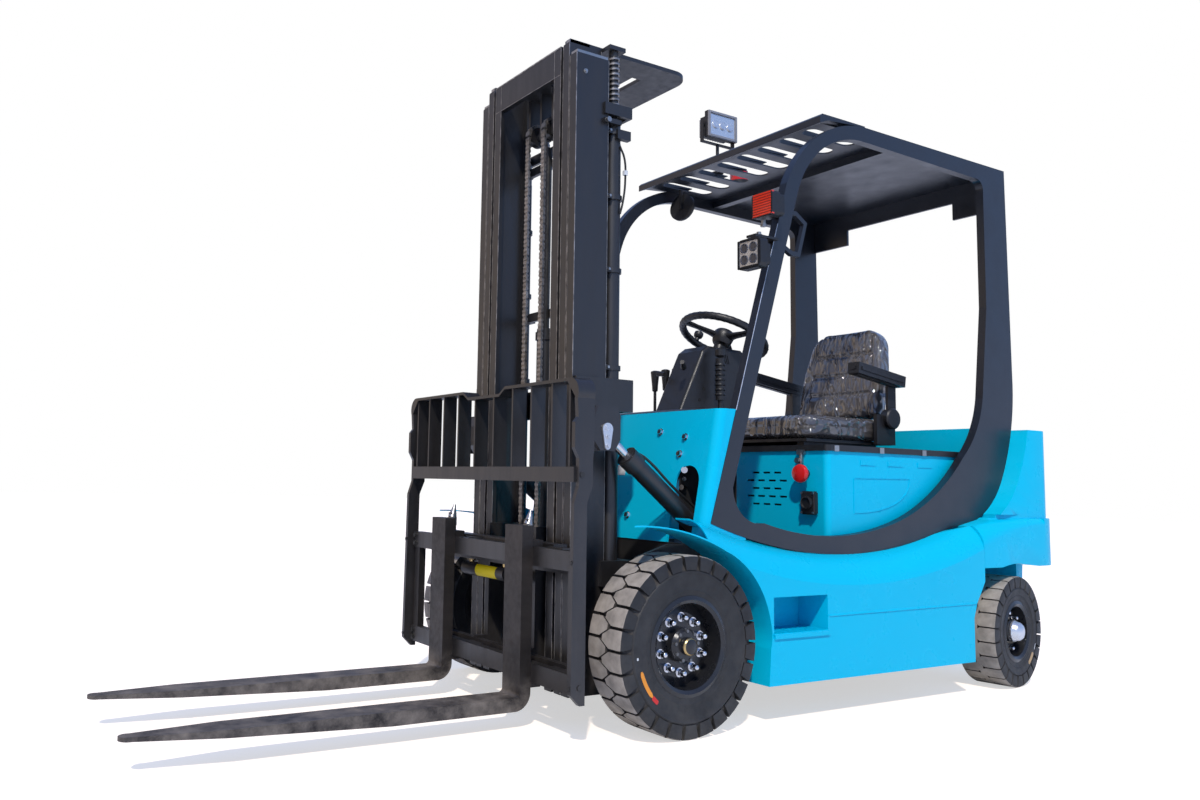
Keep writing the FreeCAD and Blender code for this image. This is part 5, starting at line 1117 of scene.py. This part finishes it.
def side_trim():
    """Step tread, pressed forms of the seat box, ridges of the body and painted highlights on the guard's
    legs.
    """
    form("step_tread_ribs", "cyan", "chassis", signs=BOTH,
         blocks=[((-600 + 24 * k, 490, 284.2), (-592 + 24 * k, 606, 286.6)) for k in range(11)])
    inner_y, outer_y = 456, 460.5
    panels = bmesh.new()
    for sign in BOTH:
        low, high = sorted((sign * inner_y, sign * outer_y))
        add_all(panels, signs=(sign,), blocks=[
            ((x - 44, inner_y, 836), (x + 44, outer_y, 858)) for x in (-1010, -1165, -1340)])
        add_pressed_window(panels, low, high)
    soften(panels, 2, 2)
    from_bmesh("seat_box_pressed_forms", panels, "cyan", "chassis")
    form("skirt_ridges", "cyan", "chassis", soft=(1, 1, 0.2), signs=BOTH,
         rods=[((-1419, 603.2, 336), (-612, 603.2, 331), 4.5, 16)],
         blocks=[((-609, 600, 281), (-354, 609, 287))])
    # Thin silver rod along each guard leg's front edge: a painted highlight where the light catches that
    # edge.
    form("guard_leg_painted_edge_highlights", "silver", "chassis", signs=BOTH,
         rods=[((-292, 507, 1000), (-492, 507, 1660), 1.3, 6)])


def add_corner_cutter(shape, sign, rear_x, side_y, radius, low, high):
    """What is cut off an upright rear corner so that it is round."""
    inner_y, rounded_x = side_y - radius, rear_x + radius
    outline = [(rear_x - 30, side_y + 30), (rear_x - 30, inner_y - 10), (rear_x, inner_y - 10)]
    outline += arc((rounded_x, inner_y), radius, 180, 90, 12)
    outline += [(rounded_x + 10, side_y), (rounded_x + 10, side_y + 30)]
    add_loft(shape, [[at(x, sign * y, z) for x, y in outline] for z in (low, high)])


def add_shelf_cutter(shape, sign):
    """What is cut off the shelf's outer edge, so that the body side's shoulder runs out into it."""
    front_x, rear_x, side_y = -1478.0, -1885.0, 604.5
    # The cut's inner y, its top and its foot, at the front and at the rear
    ends = ((500.0, 583.0), (638.0, 650.0), (542.0, 624.0))
    sections = []
    for k in range(13):
        share = k / 12
        ease = 1 - (1 - share) ** 2
        inner_y, top_z, low_z = (front + (rear - front) * ease for front, rear in ends)
        points = [(side_y + 12, low_z), (side_y + 12, 664.0), (inner_y, 664.0)]
        for i in range(9):
            angle = math.radians(90 * i / 8)
            points.append((inner_y + (side_y - inner_y) * math.sin(angle),
                           low_z + (top_z - low_z) * math.cos(angle)))
        x = front_x + (rear_x - front_x) * share
        sections.append([at(x, sign * y, z) for y, z in points])
    add_loft(shape, sections)


def cut_with(piece, tools):
    """Cut a piece with the closed forms in a bmesh."""
    cutter = from_bmesh("cutter", tools, "cyan", None)
    cut = piece.modifiers.new("cut", "BOOLEAN")
    cut.operation = "DIFFERENCE"
    cut.object = cutter
    cut.solver = "EXACT"
    apply_modifier(piece, cut)
    bpy.data.objects.remove(cutter)


def counterweight_form():
    """Copy of the counterweight with its rear corners and shelf edge drawn round."""
    source = NODES["counterweight"]
    mesh = source.data.copy()
    mesh.transform(source.matrix_world)
    piece = bpy.data.objects.new("counterweight_rounded", mesh)
    bpy.context.scene.collection.objects.link(piece)
    # Corner's place along X, half width, radius, lowest and highest Z
    for corner in ((-2032.0, 604.5, 150.0, 290.0, 650.6), (-2018.0, 575.0, 94.0, 650.3, 1020.0)):
        tools = bmesh.new()
        for sign in BOTH:
            add_corner_cutter(tools, sign, *corner)
        cut_with(piece, tools)
    for sign in BOTH:
        shelf = bmesh.new()
        add_shelf_cutter(shelf, sign)
        cut_with(piece, shelf)
    mesh = piece.data
    mesh.materials.clear()
    mesh.materials.append(PAINT["cyan"])
    for face in mesh.polygons:
        face.material_index = 0
    add_bevel_modifier(piece, 0.008, 3, 55).harden_normals = True
    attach(piece, "chassis")
    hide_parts("counterweight")
    smooth_faces(mesh, 32)


# Stage, light and camera
def backdrop_share(tree):
    """How much of the white backdrop a ray sees: camera and glass rays all of it, mirrored rays a tenth."""
    rays = node(tree, "LightPath").outputs
    mirrored = calculate(tree, "MULTIPLY", rays["Is Glossy Ray"], 0.1)
    seen = calculate(tree, "MAXIMUM", rays["Is Camera Ray"], rays["Is Transmission Ray"])
    return calculate(tree, "MAXIMUM", seen, mirrored)


def choose_shader(tree, lighting, seen, output):
    """Give the output the lighting's shader, or the seen one for rays that see the backdrop."""
    choose = node(tree, "MixShader")
    tree.links.new(backdrop_share(tree), choose.inputs[0])
    tree.links.new(lighting.outputs[0], choose.inputs[1])
    tree.links.new(seen.outputs[0], choose.inputs[2])
    tree.links.new(choose.outputs[0], output.inputs[0])


def build_floor():
    """White floor that takes the shadow."""
    bpy.ops.mesh.primitive_plane_add(size=60, location=(0, 0, 0))
    floor = bpy.context.object
    floor.name = "floor"
    white = bpy.data.materials.new("floor_white")
    white.use_nodes = True
    tree = white.node_tree
    tree.nodes.clear()
    lit = node(tree, "BsdfDiffuse", Color=(0.72, 0.6, 0.5, 1))
    own = node(tree, "Emission", Color=grey(1.0), Strength=0.58)
    seen = node(tree, "AddShader")
    tree.links.new(lit.outputs[0], seen.inputs[0])
    tree.links.new(own.outputs[0], seen.inputs[1])
    choose_shader(tree, node(tree, "BsdfDiffuse", Color=grey(0.8)), seen, node(tree, "OutputMaterial"))
    floor.data.materials.append(white)


def build_sky():
    """Blue sky over warm ground as the light, and a white backdrop."""
    world = bpy.data.worlds.new("sky")
    bpy.context.scene.world = world
    world.use_nodes = True
    tree = world.node_tree
    tree.nodes.clear()
    place = coordinates(tree, "Generated")
    sky = ramp(tree, map_range(tree, place["Z"], -1.0, 1.0), [
        (0.0, (0.5, 0.46, 0.42, 1)), (0.48, (0.45, 0.42, 0.38, 1)), (0.51, (0.42, 0.6, 1.0, 1)),
        (0.60, (0.3, 0.5, 0.95, 1)), (0.78, (0.14, 0.3, 0.75, 1)), (1.0, (0.08, 0.2, 0.6, 1)),
    ])
    # Warm ground and walls ahead and to the right, which the front faces mirror
    ahead_right = map_range(tree, calculate(tree, "SUBTRACT", place["X"], place["Y"]), 0.1, 1.0)
    low_down = map_range(tree, place["Z"], 0.6, 0.25)
    around = mix_colour(tree, calculate(tree, "MULTIPLY", ahead_right, low_down), sky, (0.66, 0.5, 0.36, 1))
    light = node(tree, "Background", Strength=0.95)
    tree.links.new(around, light.inputs["Color"])
    seen = node(tree, "Background", Color=grey(1.0), Strength=1.0)
    choose_shader(tree, light, seen, node(tree, "OutputWorld"))


def build_sun():
    """Low sun from ahead and from the left."""
    lamp = bpy.data.lights.new("sun", "SUN")
    lamp.energy = 3.1
    lamp.angle = math.radians(2.0)
    lamp.color = (1.0, 0.95, 0.88)
    sun = bpy.data.objects.new("sun", lamp)
    sun.rotation_euler = Vector((-0.42, -0.5, -0.76)).to_track_quat("-Z", "Y").to_euler()
    bpy.context.scene.collection.objects.link(sun)


def build_camera():
    """Camera fitted to the photograph; its sizes are in the photograph's pixels."""
    photo_width, photo_height, focal_length = 1200.0, 800.0, 953.98
    centre_x, centre_y = 474.26, 385.50
    data = bpy.data.cameras.new("camera")
    data.sensor_width = 36.0
    data.lens = focal_length * data.sensor_width / photo_width
    data.shift_x = (photo_width / 2 - centre_x) / photo_width
    data.shift_y = (centre_y - photo_height / 2) / photo_width
    data.clip_end = 200.0
    camera = bpy.data.objects.new("camera", data)
    yaw, pitch, roll = math.radians(-119.92), math.radians(5.65), math.radians(1.4)
    ahead = Vector((math.cos(yaw) * math.cos(pitch), math.sin(yaw) * math.cos(pitch), math.sin(pitch)))
    right = ahead.cross(Vector(UP)).normalized()
    up = right.cross(ahead)
    right_rolled = math.cos(roll) * right + math.sin(roll) * up
    up_rolled = -math.sin(roll) * right + math.cos(roll) * up
    turn = Matrix((right_rolled, up_rolled, -ahead)).transposed()
    camera.matrix_world = Matrix.Translation(at(2023.2, 2794.5, 749.5)) @ turn.to_4x4()
    bpy.context.scene.collection.objects.link(camera)
    bpy.context.scene.camera = camera


dress_nodes()
build_wheels()
build_seat()
armrests()
mast_edges()
build_chains()
lift_cylinder_trim()
mast_bracket_trim()
carriage_trim()
lamp_lenses()
roof_lamp_trim()
steering_wheel()
cab_trim()
cowl_trim()
seat_box_trim()
side_trim()
counterweight_form()
build_floor()
build_sky()
build_sun()
build_camera()
bpy.context.scene.view_settings.view_transform = "Standard"
